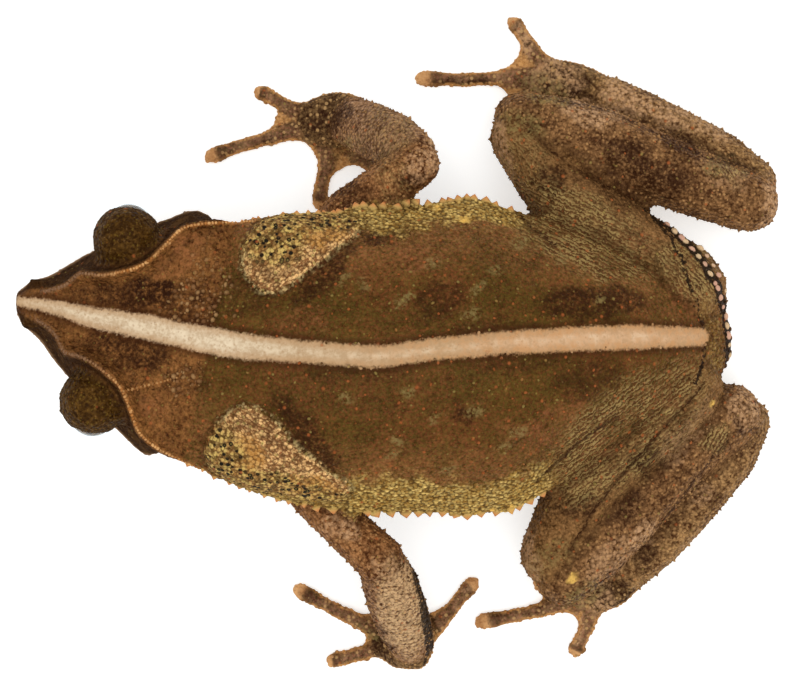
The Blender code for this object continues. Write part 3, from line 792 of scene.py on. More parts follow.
@dataclass(frozen=True)
class Trail:
    """A line of places seen from above."""

    places: Pairs
    height: float

    def distance(self, points: Array) -> tuple[Array, Array]:
        """Measures how far points are from the line.

        Args:
            points: points in millimetres; only x and y count.

        Returns:
            The distance in millimetres, and how far along the nearest place is, counted in corners.
        """
        line = from_photo(self.places, self.height)
        best, along = np.full(len(points), 1e9), np.zeros(len(points))
        for k, (a, b) in enumerate(zip(line[:-1], line[1:])):
            t, gap = nearest_on(points, a, b)
            along = np.where(gap < best, k + t, along)
            best = np.minimum(best, gap)
        return best, along


STRIPE = Trail(((14, 301), (44, 305.5), (96, 318.5), (143, 326.5), (191, 337), (229, 344.5), (262, 348.5),
    (308, 352), (350, 355.5), (384, 356.5), (438, 349), (482, 345), (521, 342), (580, 339), (640, 337),
    (706, 337)), 18.5)
STRIPE_WIDTHS = (9, 13, 21, 24, 25, 26, 24, 22, 21, 21, 21, 22, 23, 24, 24, 18)
CREASES = (Trail(((502, 185), (518, 212), (534, 230), (554, 245)), 12.0),
    Trail(((530, 128), (547, 145), (576, 167), (605, 185), (632, 194), (658, 216)), 11.0),
    Trail(((560, 98), (600, 108), (623, 116), (670, 138), (703, 156), (759, 167)), 8.0),
    Trail(((537, 481), (578, 442), (598, 428), (616, 417)), 11.0),
    Trail(((569, 553), (594, 512), (616, 483), (643, 453), (677, 415), (702, 388)), 11.0),
    Trail(((594, 587), (637, 558), (657, 533), (684, 497), (698, 478), (730, 442), (759, 428)), 8.0))
REAR_LINE = Trail(((657, 214), (668, 224), (686, 241), (705, 264), (718, 288), (727, 316), (731, 345),
    (733, 370)), 9.0)
RUMP_LINE = Trail(((647, 207), (672, 236), (681, 257), (692, 290), (700, 308), (706, 335), (703, 365),
    (697, 385)), 12.0)
ARM_LINE = Trail(((415, 562), (421, 589), (427, 620), (431, 650), (427, 665)), 3.0)
PARIETAL_LINE = Trail(((124, 391), (145, 386), (165, 381), (180, 377)), 17.0)
BLACK_LINES = ((REAR_LINE, 0.36), (ARM_LINE, 0.34), (RUMP_LINE, 0.06))
RIGHT_GLAND_TURN, LEFT_GLAND_TURN = 42.0, -30.0
FAR_OFF = -3.0  # stands for a distance where a marking isn't drawn
LIMB_REGIONS = (Region.THIGH, Region.SHANK, Region.TARSUS, Region.UPPER_ARM, Region.FOREARM)
WART_MARKS = ("wart", "tone", "ember", "tooth", "bead")

DARK_PATCHES = patches((108, 291, 42, 13, 12, 0.5), (98, 342, 30, 14, 40, 0.5), (135, 353, 34, 20, 20, 0.55),
    (322, 278, 40, 13, 45), (305, 430, 48, 13, -50), (440, 300, 26, 20, 20, 0.8), (465, 415, 12, 9),
    (375, 238, 18, 10), (590, 380, 36, 20, 15, 0.7), (153, 291, 24, 10, 0, 1.3), (148, 354, 24, 18),
    (552, 180, 16, 17), (635, 158, 34, 20, -28), (672, 180, 24, 20, -20), (688, 137, 22, 15, -35),
    (585, 83, 18, 14, -20), (580, 508, 24, 14, 10), (648, 465, 20, 11), (632, 508, 20, 13, 30),
    (706, 494, 9, 11, 0, 0.3), (722, 502, 10, 9, 0, 0.6), (650, 560, 14, 14), (620, 595, 20, 13, 20),
    (748, 428, 6, 6), (468, 78, 36, 9), (525, 612, 34, 8, 14), (522, 36, 8, 9), (430, 615, 7, 42, 12),
    (318, 112, 34, 18, 6), (378, 648, 18, 16, 20), (245, 148, 34, 7, 25), (318, 600, 18, 5, -25),
    (134, 296, 44, 14, -8), (130, 345, 40, 18, -20), (250, 300, 30, 20, 0, 0.6), (592, 303, 54, 17),
    (612, 188, 52, 12, -28, 0.6), (350, 190, 30, 14, -40, 0.8), (195, 305, 28, 20, 0, 0.7),
    (183, 380, 22, 14, 0, 0.6), (490, 330, 46, 10, 4, 0.6), (415, 180, 16, 9, 35),
    (405, 560, 22, 10, -30, 0.6), (360, 372, 60, 9, -4, 0.5), (520, 365, 60, 9, 4, 0.5))
PALE_PATCHES = patches((702, 494, 13, 14, 45, 0.65), (746, 418, 14, 16, 60, 0.5), (338, 520, 22, 12, 35, 0.5),
    (592, 112, 32, 13, -12), (776, 205, 12, 32, -10), (628, 98, 28, 16, -25), (640, 535, 18, 12, 35),
    (680, 445, 24, 14, 35, 0.45), (750, 402, 18, 18), (401, 606, 24, 52, 12), (385, 568, 16, 12, -30, 0.8),
    (425, 165, 20, 14, 20, 0.8), (555, 78, 24, 16, -20, 0.6), (665, 110, 30, 12, -28),
    (725, 175, 26, 12, -25, 0.4), (655, 600, 26, 9, 40, 0.8), (700, 545, 30, 9, 48, 0.5),
    (345, 522, 20, 9, -25), (432, 150, 9, 16, 10), (600, 585, 10, 16, 20, 0.6), (560, 75, 26, 18, -20, 0.8),
    (600, 602, 18, 18, 20, 0.8), (690, 430, 42, 16, 42, 0.2), (612, 560, 26, 16, 45, 0.6),
    (523, 34, 9, 20, 25), (578, 636, 8, 20, -18), (500, 150, 8, 40, 10, 0.6), (528, 545, 8, 40, 8, 0.6),
    (470, 585, 14, 8, 40), (700, 120, 40, 9, -32, 0.8))
LICHENS = patches((405, 300, 9, 6, 30), (432, 266, 7, 7), (478, 290, 8, 5, 60), (470, 315, 8, 5),
    (345, 280, 9, 6, 45), (362, 285, 6, 5), (408, 395, 8, 6), (345, 398, 8, 6), (474, 410, 7, 6),
    (400, 440, 9, 6), (505, 448, 11, 6, 20), (392, 455, 8, 5), (520, 430, 7, 6), (525, 240, 9, 6),
    (560, 260, 8, 5), (430, 420, 6, 5), (495, 270, 6, 5), (600, 300, 8, 5), (630, 250, 9, 5),
    (450, 470, 8, 5), (540, 470, 9, 5, 30), (720, 163, 10, 5), (525, 120, 22, 14, -20),
    (552, 82, 26, 16, -20), (590, 604, 22, 12, 25), (340, 145, 14, 10, 30), (365, 645, 10, 8),
    (556, 560, 26, 14, 40, 0.6))
RED_PATCHES = patches((562, 412, 20, 12), (520, 430, 22, 10), (186, 251, 15, 14), (150, 405, 20, 10, -40),
    (420, 260, 18, 12), (600, 450, 18, 12), (640, 240, 18, 12), (670, 400, 16, 12), (300, 320, 26, 10),
    (690, 290, 16, 24), (170, 270, 20, 10, 20))
NECK_PATCHES = patches((200, 300, 34, 18, 10), (180, 380, 18, 14), (208, 262, 16, 20, 20, 0.45))
FOLD_AREAS = patches((575, 228, 92, 36, -27), (628, 432, 92, 44, 38), (732, 166, 18, 10, -60),
    (718, 440, 16, 13, 60), (690, 268, 34, 28, -48), (388, 128, 40, 26, 62, 0.5),
    (404, 605, 26, 50, 14, 0.55), (395, 182, 30, 20, -58, 0.45), (520, 165, 26, 36, -52, 0.5))
GLAND_FRONTS = patches((272, 238, 34, 28, 0), (325, 218, 52, 12, -5), (222, 458, 24, 36, 20),
    (275, 488, 60, 14, -12), (330, 500, 34, 9, -8))
RUMP_PATCH = patches((713, 338, 12, 46, 6))
GLAND_GOLD = patches((322, 234, 26, 12, 10), (250, 455, 12, 18, 10), (315, 488, 26, 10, -15))
RIM_SPOTS = patches((437, 207, 4, 4), (465, 220, 5, 3), (505, 390, 1.6, 1.6), (717, 404, 2.2, 2.2),
    (575, 583, 5, 4), (476, 516, 3, 3), (492, 513, 3, 3), (511, 508, 3, 3))


@dataclass
class Markings:
    """Works out the masks that place each colour of the skin."""

    line: BodyLine
    skin: Skin
    drift: Array = field(init=False)

    def __post_init__(self) -> None:
        """Works out how far each place wanders sideways, for uneven outlines."""
        points = self.skin.surface.points
        self.drift = np.stack([ripple(points, 1.3, 3.3), ripple(points, 1.3, 7.7), 0 * points[:, 0]], 1)

    def patches(self, group: tuple[Patch, ...], height: float = 15.0, wobble: float = 0.5) -> Array:
        """Joins patches with a natural, uneven outline.

        Args:
            group: the patches.
            height: the height that they were read at.
            wobble: how far their outlines wander, in millimetres.

        Returns:
            Numbers from 0 to 1.
        """
        points = self.skin.surface.points
        moved = points + self.drift * wobble
        return np.max([patch.mask(moved, height) for patch in group], axis=0)

    def paint(self) -> dict[str, Array]:
        """Works out all masks.

        Returns:
            One number per point for each attribute's name.
        """
        surface, share = self.skin.surface, self.skin.share
        points, normals = surface.points, surface.normals()
        z, up = points[:, 2], normals[:, 2]
        s, v = self.line.locate(points)
        edge = self.line.edge_width(s)
        top = ease(up, -0.05, 0.3)
        head, trunk = share(Region.HEAD, Region.JAW), share(Region.TRUNK)
        limb = 1 - np.clip(head + trunk, 0, 1)
        beside, along = STRIPE.distance(points + self.drift * 0.06)
        half = np.interp(along, range(len(STRIPE_WIDTHS)), STRIPE_WIDTHS) / 2 / PHOTO_SCALE
        ends = ease(z, 8.0, 10.0)
        gland = gland_depth(points + self.drift * 0.1)
        lids = np.min([self.ellipsoid(place, LID_SIZE) for place in both_sides(LID_PLACE)], axis=0)
        off = self.line.beside(s, v)
        crest = bell(off + 0.1, 0.13) * ease(s, 1.6, 2.4) * ease(s, 19.5, 17.5)
        crest *= ease(np.abs(z - self.line.edge_height(s)), 2.6, 1.4) * (head + trunk)
        branch = 0.6 * bell(PARIETAL_LINE.distance(points)[0], 0.12) * top
        reach = np.where(v > 0, 1.7, 2.7)
        rim = ease(np.abs(v) - edge + reach + 0.7 * self.drift[:, 0], -1.1, 0.7) * trunk
        rim *= ease(s, 17, 22) * ease(s, 46, 42) * ease(up, -0.5, 0.0)
        rim *= ease(z, self.line.edge_height(s) - 4.5, self.line.edge_height(s) - 2.0)
        rim = np.maximum(rim, 0.5 * self.patches(RUMP_PATCH, 11.0) * top)
        mouth = self.line.above_mouth(points, s)
        folds, phase = np.zeros(len(points)), np.zeros(len(points))
        for area in FOLD_AREAS:
            mask = area.mask(points + self.drift * 0.6, 11.0)
            phase = np.where(mask > folds, self.across(area.turn), phase)
            folds = np.maximum(folds, mask)
        for turn, chosen in ((RIGHT_GLAND_TURN, points[:, 1] > 0), (LEFT_GLAND_TURN, points[:, 1] < 0)):
            phase = np.where((gland > -0.5) & chosen, self.across(turn), phase)
        wander = points + self.drift * 0.12
        # distance to the creases of the legs, where shade is painted
        creases = np.min([crease.distance(wander)[0] for crease in CREASES], axis=0) - FAR_OFF * (1 - top)
        web = np.max([Outline(web.corners, 1.0).depth(points) for web in WEBS], axis=0)
        digit, tip = share(Region.DIGIT, rounds=3), self.skin.reaches()[0]
        # how far each point lies below its neighbours, for the painted shade in the hollows
        sunk = ((surface.averaged(points) - points) * normals).sum(1)
        lip = bell(mouth - 0.45, 0.25) * ease(s, 15, 13.5) * head * ease(np.abs(up), 0.97, 0.8)
        web = ease(web, -0.8, 0.0) * ease(surface.spread(self.skin.outside, 1), 0.1, 0.24)
        under = ease(up, -0.15, -0.6) * ease(z, 11.0, 8.5)
        line = np.min([trail.distance(wander)[0] - wide for trail, wide in BLACK_LINES], axis=0)
        return {"stripe": np.where(top * ends > 0.5, half - beside, FAR_OFF),
            "gland": np.where((top > 0.3) & (z > 12.5), gland, FAR_OFF),
            "gland_front": self.patches(GLAND_FRONTS, 17, 0.3) * top,
            "gland_gold": self.patches(GLAND_GOLD, 17) * top, "dark": self.patches(DARK_PATCHES) * top,
            "pale": self.patches(PALE_PATCHES, 8) * limb, "lichen": self.patches(LICHENS, 18, 0.4) * top,
            "red": self.patches(RED_PATCHES, 18, 0.7) * top,
            "neck": self.patches(NECK_PATCHES, 18, 0.9) * top,
            "spots": self.patches(RIM_SPOTS, 15, 0.05) * top, "head": head,
            "lid": ease(lids, 1.18, 1.04) * head,
            "face": ease(off, -0.05, 0.3) * head * ease(s, 18, 15) * ease(lids, 1.04, 1.18),
            "nostril": ease(self.skin.spot(NOSTRIL), 0.42, 0.2), "ear": ease(self.skin.spot(EAR), 1.1, 0.9),
            "crest": np.maximum(crest, branch), "rim": rim, "lip": lip,
            "mouth": bell(mouth, 0.16) * ease(s, 14.6, 13.8) * head, "fold": folds * ease(up, 0.0, 0.4),
            "phase": phase, "crease": creases, **{region.value[0]: share(region) for region in LIMB_REGIONS},
            "palm": share(Region.PALM, rounds=3), "digit": digit, "tip": tip, "web": web * ease(z, 3.0, 2.0),
            # the sides of the skin and of the digits; on hands and feet the orange laid there is partly painted
            # light through the thin skin
            "edge": np.maximum(ease(up, 0.62, 0.12), digit * ease(up, 0.92, 0.55)),
            "under": under * (1 - head * ease(mouth, -0.9, 0.0)),
            "bank": ease(np.abs(v) - edge + 5.5, -2.0, 3.5) * trunk, "flank": ease(up, 0.25, -0.25),
            # where the skin is hollow, for its painted shade
            "line": line - FAR_OFF * ease(up, 0.1, -0.3), "hollow": np.clip(sunk / 0.012, -1.5, 1.5),
            **{key: np.zeros(len(points)) for key in WART_MARKS}}

    def across(self, turn: float) -> Array:
        """Measures places across lines that are turned by some degrees."""
        c, s = math.cos(math.radians(turn)), math.sin(math.radians(turn))
        return self.skin.surface.points[:, 1] * c - self.skin.surface.points[:, 0] * s

    def ellipsoid(self, centre: Triple, radii: Triple) -> Array:
        """Measures the skin against an ellipsoid on the body: 1 on it, less inside it."""
        offset = (self.skin.surface.points - self.line.place(*centre)) / radii
        return np.linalg.norm(offset, axis=1)


class WartShape(Enum):
    """How a tubercle rises: rings of radius and height, the last one being its tip."""

    GRANULE = ((1.0, -0.25), (0.85, 0.45), (0.0, 0.85))
    DOME = ((1.0, -0.3), (0.93, 0.35), (0.55, 0.85), (0.0, 1.0))
    SPINE = ((1.0, -0.35), (0.8, 0.35), (0.38, 0.95), (0.0, 1.45))

    def template(self, sides: int) -> tuple[Array, list[tuple[int, ...]], Array]:
        """Builds the tubercle in its own axes.

        Args:
            sides: how many sides it has.

        Returns:
            Its points, its faces and how near each point is to the tip.
        """
        rings = self.value
        points = [(r * math.cos(2 * math.pi * k / sides), r * math.sin(2 * math.pi * k / sides), h)
            for r, h in rings[:-1] for k in range(sides)] + [(0.0, 0.0, rings[-1][1])]
        faces = [(j * sides + k, j * sides + (k + 1) % sides, (j + 1) * sides + (k + 1) % sides,
            (j + 1) * sides + k) for j in range(len(rings) - 2) for k in range(sides)]
        last = (len(rings) - 2) * sides
        faces += [(last + k, last + (k + 1) % sides, last + sides) for k in range(sides)]
        near = np.array([j / (len(rings) - 1) for j in range(len(rings) - 1) for _ in range(sides)] + [1.0])
        return np.array(points), faces, near


@dataclass(frozen=True)
class WartKind:
    """One kind of tubercle: where it grows, how close together and how big, in millimetres."""

    name: str
    slot: str
    spacing: float
    radius: tuple[float, float]
    height: float
    seed: int
    shape: WartShape = WartShape.GRANULE
    sides: int = 6
    mark: str = ""
    stretch: tuple[float, float] = (0.0, 1.0)


@dataclass
class WartCoat:
    """Grows tubercles on the finished skin."""

    skin: Skin
    marks: dict[str, Array]

    def __post_init__(self) -> None:
        """Prepares the skin's triangles."""
        surface = self.skin.surface
        self.corners = surface.triangles()
        a, b, c = (surface.points[self.corners[:, k]] for k in range(3))
        self.areas = np.linalg.norm(np.cross(b - a, c - a), axis=1) / 2
        self.normals = surface.normals()
        self.tree = BVHTree.FromPolygons((surface.points * MM).tolist(), self.corners.tolist())

    def scatter(self, kind: WartKind, density: Array) -> tuple[Array, Array, Array]:
        """Chooses places for tubercles at random, no two too close.

        Args:
            kind: the kind of tubercle.
            density: share of the kind's full density at each point of the skin.

        Returns:
            Places, normals and the nearest skin point of each.
        """
        rng = np.random.default_rng(kind.seed)
        weight = self.areas * density[self.corners].mean(1)
        count = int(weight.sum() / kind.spacing**2 * 2.2)
        chosen = rng.choice(len(weight), count, p=weight / weight.sum())
        mix = rng.dirichlet((1, 1, 1), count)
        corner = self.corners[chosen]
        places = (self.skin.surface.points[corner] * mix[:, :, None]).sum(1)
        normals = (self.normals[corner] * mix[:, :, None]).sum(1)
        nearest = corner[np.arange(count), mix.argmax(1)]
        cells: dict[tuple[int, int, int], list[int]] = {}
        kept = []
        for i, place in enumerate(places):
            cell = tuple(int(math.floor(q / kind.spacing)) for q in place)
            around = (j for dx in (-1, 0, 1) for dy in (-1, 0, 1) for dz in (-1, 0, 1)
                for j in cells.get((cell[0] + dx, cell[1] + dy, cell[2] + dz), ()))
            if all(((places[j] - place) ** 2).sum() > kind.spacing**2 * 0.72 for j in around):
                cells.setdefault(cell, []).append(i)
                kept.append(i)
        return places[kept], normals[kept], nearest[kept]

    def below(self, starts: list[Array]) -> tuple[Array, Array, Array]:
        """Finds the places on the skin straight below some points.

        Args:
            starts: points above the skin, in millimetres.

        Returns:
            Places, normals and the nearest skin point of each one that has skin below it.
        """
        places, normals, nearest = [], [], []
        for start in starts:
            hit, _, index, _ = self.tree.ray_cast(Vector(start * MM), Vector((0.0, 0.0, -1.0)))
            if hit is None:
                continue
            corner = self.corners[index]
            gap = np.linalg.norm(self.skin.surface.points[corner] - np.array(hit) / MM, axis=1)
            places.append(np.array(hit) / MM)
            nearest.append(corner[gap.argmin()])
            normals.append(self.normals[nearest[-1]])
        return np.array(places), np.array(normals), np.array(nearest)

    def grow(self, kind: WartKind, places: Array, normals: Array, nearest: Array,
             size: Array | float = 1.0) -> Object:
        """Builds one piece from many tubercles.

        Args:
            kind: the kind of tubercle.
            places: where they stand, in millimetres.
            normals: which way they point.
            nearest: the skin point whose marks each one takes.
            size: scale of each one.

        Returns:
            The piece.
        """
        rng = np.random.default_rng(kind.seed + 1000)
        template, faces, near = kind.shape.template(kind.sides)
        count, corners = len(places), len(template)
        radius = rng.uniform(*kind.radius, count) * size
        normals = unit(normals)
        side = np.cross(normals, rng.normal(size=normals.shape))
        oval = rng.uniform(0.8, 1.2, count)
        if kind.stretch[1] > 1:
            turn = math.radians(kind.stretch[0])
            way = np.array([math.cos(turn), math.sin(turn), 0.0])
            side = way - normals * (normals[:, :1] * way[0] + normals[:, 1:2] * way[1])
            oval = oval * math.sqrt(kind.stretch[1])
        side = unit(side)
        other = np.cross(normals, side)
        made = (places[:, None] + side[:, None] * (template[:, 0] * (radius * oval)[:, None])[:, :, None] +
            other[:, None] * (template[:, 1] * (radius / oval)[:, None])[:, :, None] +
            normals[:, None] * (template[:, 2] * (radius * kind.height)[:, None])[:, :, None]).reshape(-1, 3)
        low, high = np.array(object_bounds()) / MM
        made = np.clip(made, low, high)
        marks = {key: np.repeat(values[nearest], corners) for key, values in self.marks.items()}
        marks["wart"] = np.tile(near, count)
        marks["tone"] = np.repeat(rng.uniform(0.05, 1.0, count), corners)
        if kind.mark:
            marks[kind.mark] = np.ones(len(made))
        whole = (np.array(f)[None] + corners * np.arange(count)[:, None] for f in faces)
        obj = object_from(kind.name, made, [tuple(row) for rows in whole for row in rows.tolist()], marks)
        self.lay_out(obj, template, count)
        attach(obj, "root")
        LOG.info("%s: %d tubercles", kind.name, count)
        return obj

    def lay_out(self, obj: Object, template: Array, count: int) -> None:
        """Gives each tubercle its own square of the texture map.

        Args:
            obj: the piece.
            template: points of one tubercle.
            count: how many there are.
        """
        across = math.ceil(math.sqrt(count))
        spread = template[:, :2] * (1 - 0.28 * np.clip(template[:, 2:], 0, 1)) * 0.44 + 0.5
        cell = np.arange(count)
        base = np.stack([cell % across, cell // across], 1)
        places = ((base[:, None] + spread[None]) / across).reshape(-1, 2)
        set_map(obj.data, places[corner_points(obj.data)])


@dataclass
class Warts:
    """All tubercles of the toad."""

    coat: WartCoat
    line: BodyLine
    crest_step: float = 0.27
    row_start: float = 17.0
    row_end: float = 43.5
    row_step: float = 0.96

    def build(self) -> list[Object]:
        """Grows every kind.

        Returns:
            The pieces.
        """
        marks, coat = self.coat.marks, self.coat
        up = self.coat.normals[:, 2]
        clear = ease(marks["under"], 0.8, 0.2)
        legs = np.clip(marks["thigh"] + marks["shank"] + marks["tarsus"], 0, 1) * clear
        arms = marks["upper_arm"] + marks["forearm"] + marks["palm"] + 0.8 * marks["digit"]
        arms = np.clip(arms, 0, 1) * clear
        trunk = np.clip(1 - marks["head"] - legs - arms, 0, 1) * clear * ease(marks["stripe"], 0.1, -0.2)
        gland = ease(marks["gland"], -0.1, 0.2)
        side = ease(np.abs(up), 0.55, 0.2)
        limbs = np.clip(legs + arms, 0, 1)
        flanks = trunk * marks["flank"] * clear
        granule, dome, spine = WartShape.GRANULE, WartShape.DOME, WartShape.SPINE
        right = ease(self.coat.skin.surface.points[:, 1], -0.5, 0.5)
        rim = marks["rim"] * (1 - gland)
        smooth = 1 - 0.75 * marks["fold"]
        high = ease(up, 0.0, 0.4)
        head = marks["head"] * clear * ease(marks["stripe"], 0.1, -0.2) * (1 - gland)
        thick = (limbs - marks["palm"] - marks["digit"]).clip(0, 1)
        behind = trunk * (1 - rim) * (1 - gland) + 0.7 * marks["thigh"] + 0.3 * marks["shank"]
        ends = marks["palm"] + 0.6 * marks["digit"] + 0.2 * marks["head"] * (1 - marks["face"])
        plan = (
            (legs * smooth * right, "right_leg_granules", "limb", 0.4, (0.1, 0.18), 0.6, 11, granule, 5),
            (legs * smooth * (1 - right), "left_leg_granules", "limb", 0.4, (0.1, 0.18), 0.6, 10, granule, 5),
            (arms, "arm_granules", "limb", 0.38, (0.09, 0.16), 0.6, 12, granule, 5),
            (trunk * (1 - gland) * (1 - rim) * high * smooth, "back_granules", "skin", 0.6, (0.08, 0.15), 0.45,
                13, granule),
            (trunk * rim, "rim_scales", "skin", 0.36, (0.14, 0.2), 0.6, 14, dome, 6, "", (0.0, 1.5)),
            (gland * clear * right, "right_gland_granules", "skin", 0.32, (0.1, 0.16), 0.5, 15, granule, 6, "",
                (RIGHT_GLAND_TURN, 2.0)),
            (gland * clear * (1 - right), "left_gland_granules", "skin", 0.32, (0.1, 0.16), 0.5, 25, granule,
                6, "", (LEFT_GLAND_TURN, 1.7)),
            (head, "head_granules", "skin", 0.5, (0.08, 0.14), 0.45, 16, granule),
            (marks["neck"], "neck_tubercles", "skin", 0.48, (0.15, 0.27), 0.7, 17, dome),
            (flanks * (1 - rim), "flank_granules", "skin", 0.6, (0.14, 0.26), 0.6, 18, dome),
            (thick * side, "limb_spines", "limb", 1.0, (0.12, 0.2), 0.95, 19, spine),
            (behind.clip(0, 1) * high, "back_tubercles", "skin", 1.15, (0.1, 0.17), 0.55, 20, dome, 8, "ember"),
            (ends.clip(0, 1) * high, "pale_tubercles", "skin", 1.0, (0.09, 0.15), 0.6, 21, dome))
        pieces = []
        for density, *numbers in plan:
            kind = WartKind(*numbers)
            pieces.append(coat.grow(kind, *coat.scatter(kind, density)))
        return pieces + [self.crests(), self.rows(), self.rear_beads()]

    def crests(self) -> Object:
        """Strings small beads along the crests of the head."""
        spots = []
        for side in (-1, 1):
            s = 2.2
            while s < 19.0:
                edge = float(self.line.edge_width(np.array([s]))[0])
                spots.append(self.line.place(s, side * (edge - 0.1), 30.0))
                slope = float(np.diff(self.line.edge_width(np.array([s - 0.15, s + 0.15])))[0]) / 0.3
                s += self.crest_step / math.hypot(1, slope)
        branch = from_photo(PARIETAL_LINE.places, PARIETAL_LINE.height)
        for a, b in zip(branch[:-1], branch[1:]):
            spots += [np.append(a + (b - a) * t, 30.0) for t in np.arange(0, 1, 0.2)]
        kind = WartKind("crest_beads", "skin", 0.33, (0.09, 0.15), 0.75, 31, WartShape.DOME)
        return self.coat.grow(kind, *self.coat.below(spots))

    def rows(self) -> Object:
        """Stands the row of pointed tubercles along the outline of each flank."""
        marks, points = self.coat.marks, self.coat.skin.surface.points
        limbs = marks["upper_arm"] + marks["forearm"] + marks["thigh"] + marks["shank"] + marks["palm"]
        s, v = self.line.locate(points)
        flank = (limbs < 0.4) & (marks["digit"] < 0.4) & (points[:, 2] > 6.0)
        chosen, sunk = [], []
        for side in (-1, 1):
            row = []
            for at in np.arange(self.row_start, self.row_end, self.row_step):
                near = np.flatnonzero(flank & (np.abs(s - at) < 0.25) & (v * side > 0))
                if len(near):
                    row.append(near[np.argmax(v[near] * side)])
            reach = np.pad(v[row] * side, 1, mode="edge")
            sunk += list(0.12 + np.clip(reach[1:-1] - (reach[:-2] + reach[2:]) / 2 - 0.08, 0, 0.6))
            chosen += row
        chosen, sunk = np.array(chosen), np.array(sunk)[:, None]
        outward = unit(self.coat.normals[chosen] * (1.0, 1.0, 0.0))
        outward[:, 2] = 0.2
        outward = unit(outward)
        kind = WartKind("flank_spines", "skin", 0.5, (0.42, 0.52), 0.8, 32, WartShape.SPINE, 10, "tooth",
            (0.0, 1.15))
        size = 0.66 + 0.34 * ease(s[chosen], 20.0, 30.0)
        return self.coat.grow(kind, points[chosen] - outward * sunk, outward, chosen, size=size)

    def rear_beads(self) -> Object:
        """Stands the pale beads beside the dark line behind the groin."""
        line = from_photo(REAR_LINE.places, REAR_LINE.height)
        spots = []
        for a, b in zip(line[:-1], line[1:]):
            count = max(2, int(np.linalg.norm(b - a) / 0.4))
            across = np.array([b[1] - a[1], a[0] - b[0]]) / np.linalg.norm(b - a)
            spots += [np.append(a + (b - a) * k / count - across * (0.62 * (k % 2) - 0.05), 30.0)
                for k in range(count)]
        kind = WartKind("groin_beads", "skin", 0.5, (0.2, 0.4), 0.7, 33, WartShape.DOME, 8, "bead")
        return self.coat.grow(kind, *self.coat.below(spots))


def arithmetic(operation: str, swapped: bool = False) -> Callable[["Value", "Value | float"], "Value"]:
    """Makes the method of Value for one sign of arithmetic.

    Args:
        operation: what its Math node does.
        swapped: whether the value itself comes second.

    Returns:
        The method.
    """
    def method(self: "Value", other: "Value | float") -> "Value":
        """Adds the Math node and returns its result."""
        return self.graph.math(operation, *((other, self) if swapped else (self, other)))
    return method


class Value:
    """A number that changes over the surface: a shader socket that plain arithmetic adds Math nodes to."""

    __add__, __sub__, __rsub__ = arithmetic("ADD"), arithmetic("SUBTRACT"), arithmetic("SUBTRACT", True)
    __mul__, __truediv__, __rtruediv__ = arithmetic("MULTIPLY"), arithmetic("DIVIDE"), arithmetic("DIVIDE",
        True)

    def __init__(self, socket: NodeSocket) -> None:
        """Keeps the socket."""
        self.socket = socket

    @property
    def graph(self) -> "Graph":
        """Gives the graph that the socket is in."""
        return Graph(self.socket.id_data)

    def math(self, operation: str, *others: "Value | float") -> "Value":
        """Adds a Math node that starts from this value, and returns its result."""
        return self.graph.math(operation, self, *others)

    def ease(self, start: float, end: float) -> "Value":
        """Eases from 0 at start to 1 at end."""
        low, high, first, last = (start, end, 0.0, 1.0) if start < end else (end, start, 1.0, 0.0)
        node = self.graph.add("ShaderNodeMapRange",
            {"Value": self, "From Min": low, "From Max": high, "To Min": first, "To Max": last},
            interpolation_type="SMOOTHSTEP")
        return Value(node.outputs["Result"])

    def between(self, tones: Tones) -> "Value":
        """Blends from the first of two colours to the second."""
        return self.graph.blend(self, *tones)

    @property
    def clamped(self) -> "Value":
        """Keeps the result of the Math node just added from 0 to 1."""
        self.socket.node.use_clamp = True
        return self


Shade = Value | Colour


class Graph:
    """Short ways to add and join shader nodes."""

    def __init__(self, tree: NodeTree) -> None:
        """Keeps the tree that nodes are added to."""
        self.tree = tree

    def feed(self, socket: NodeSocket, value: object) -> None:
        """Gives an input a value, a colour or the result of another node.

        Args:
            socket: the input.
            value: what goes into it.
        """
        if isinstance(value, Value):
            self.tree.links.new(value.socket, socket)
        elif isinstance(value, tuple) and socket.type == "RGBA":
            socket.default_value = (*value[:3], 1.0)
        else:
            socket.default_value = value

    def add(self, kind: str, values: dict | None = None, **settings: object) -> Node:
        """Adds a node.

        Args:
            kind: type of the node.
            values: what goes into its inputs, by name or number.
            settings: its other settings.

        Returns:
            The node.
        """
        node = self.tree.nodes.new(kind)
        for key, value in settings.items():
            setattr(node, key, value)
        for key, value in (values or {}).items():
            self.feed(node.inputs[key], value)
        return node

    def math(self, operation: str, *values: Value | float) -> Value:
        """Adds a Math node and returns its result."""
        return Value(self.add("ShaderNodeMath", dict(enumerate(values)), operation=operation).outputs[0])

    def mask(self, name: str) -> Value:
        """Reads one of the mesh's marks."""
        return Value(self.add("ShaderNodeAttribute", attribute_name=name).outputs["Fac"])

    def blend(self, share: Value | float, first: Shade, second: Shade) -> Value:
        """Mixes two colours.

        Args:
            share: how much of the second one shows.
            first: the colour underneath.
            second: the colour on top.

        Returns:
            The mixed colour.
        """
        node = self.add("ShaderNodeMix", {0: share}, data_type="RGBA")
        self.feed(node.inputs[6], first)
        self.feed(node.inputs[7], second)
        return Value(node.outputs[2])

    def noise(self, place: Value, scale: Value | float, **values: object) -> Value:
        """Adds soft noise and returns its strength."""
        return Value(self.add("ShaderNodeTexNoise",
            {"Vector": place, "Scale": scale, **values}).outputs["Fac"])

    def place(self) -> Value:
        """Gives the place on the piece in millimetres."""
        coordinates = Value(self.add("ShaderNodeTexCoord").outputs["Object"])
        return Value(self.add("ShaderNodeVectorMath", {0: coordinates, 1: (1 / MM,) * 3},
            operation="MULTIPLY").outputs[0])

    def use(self, group: NodeTree, **values: object) -> dict[str, Value]:
        """Places a node group and returns its results by name."""
        node = self.tree.nodes.new("ShaderNodeGroup")
        node.node_tree = group
        for key, value in values.items():
            self.feed(node.inputs[key], value)
        return {socket.name: Value(socket) for socket in node.outputs}


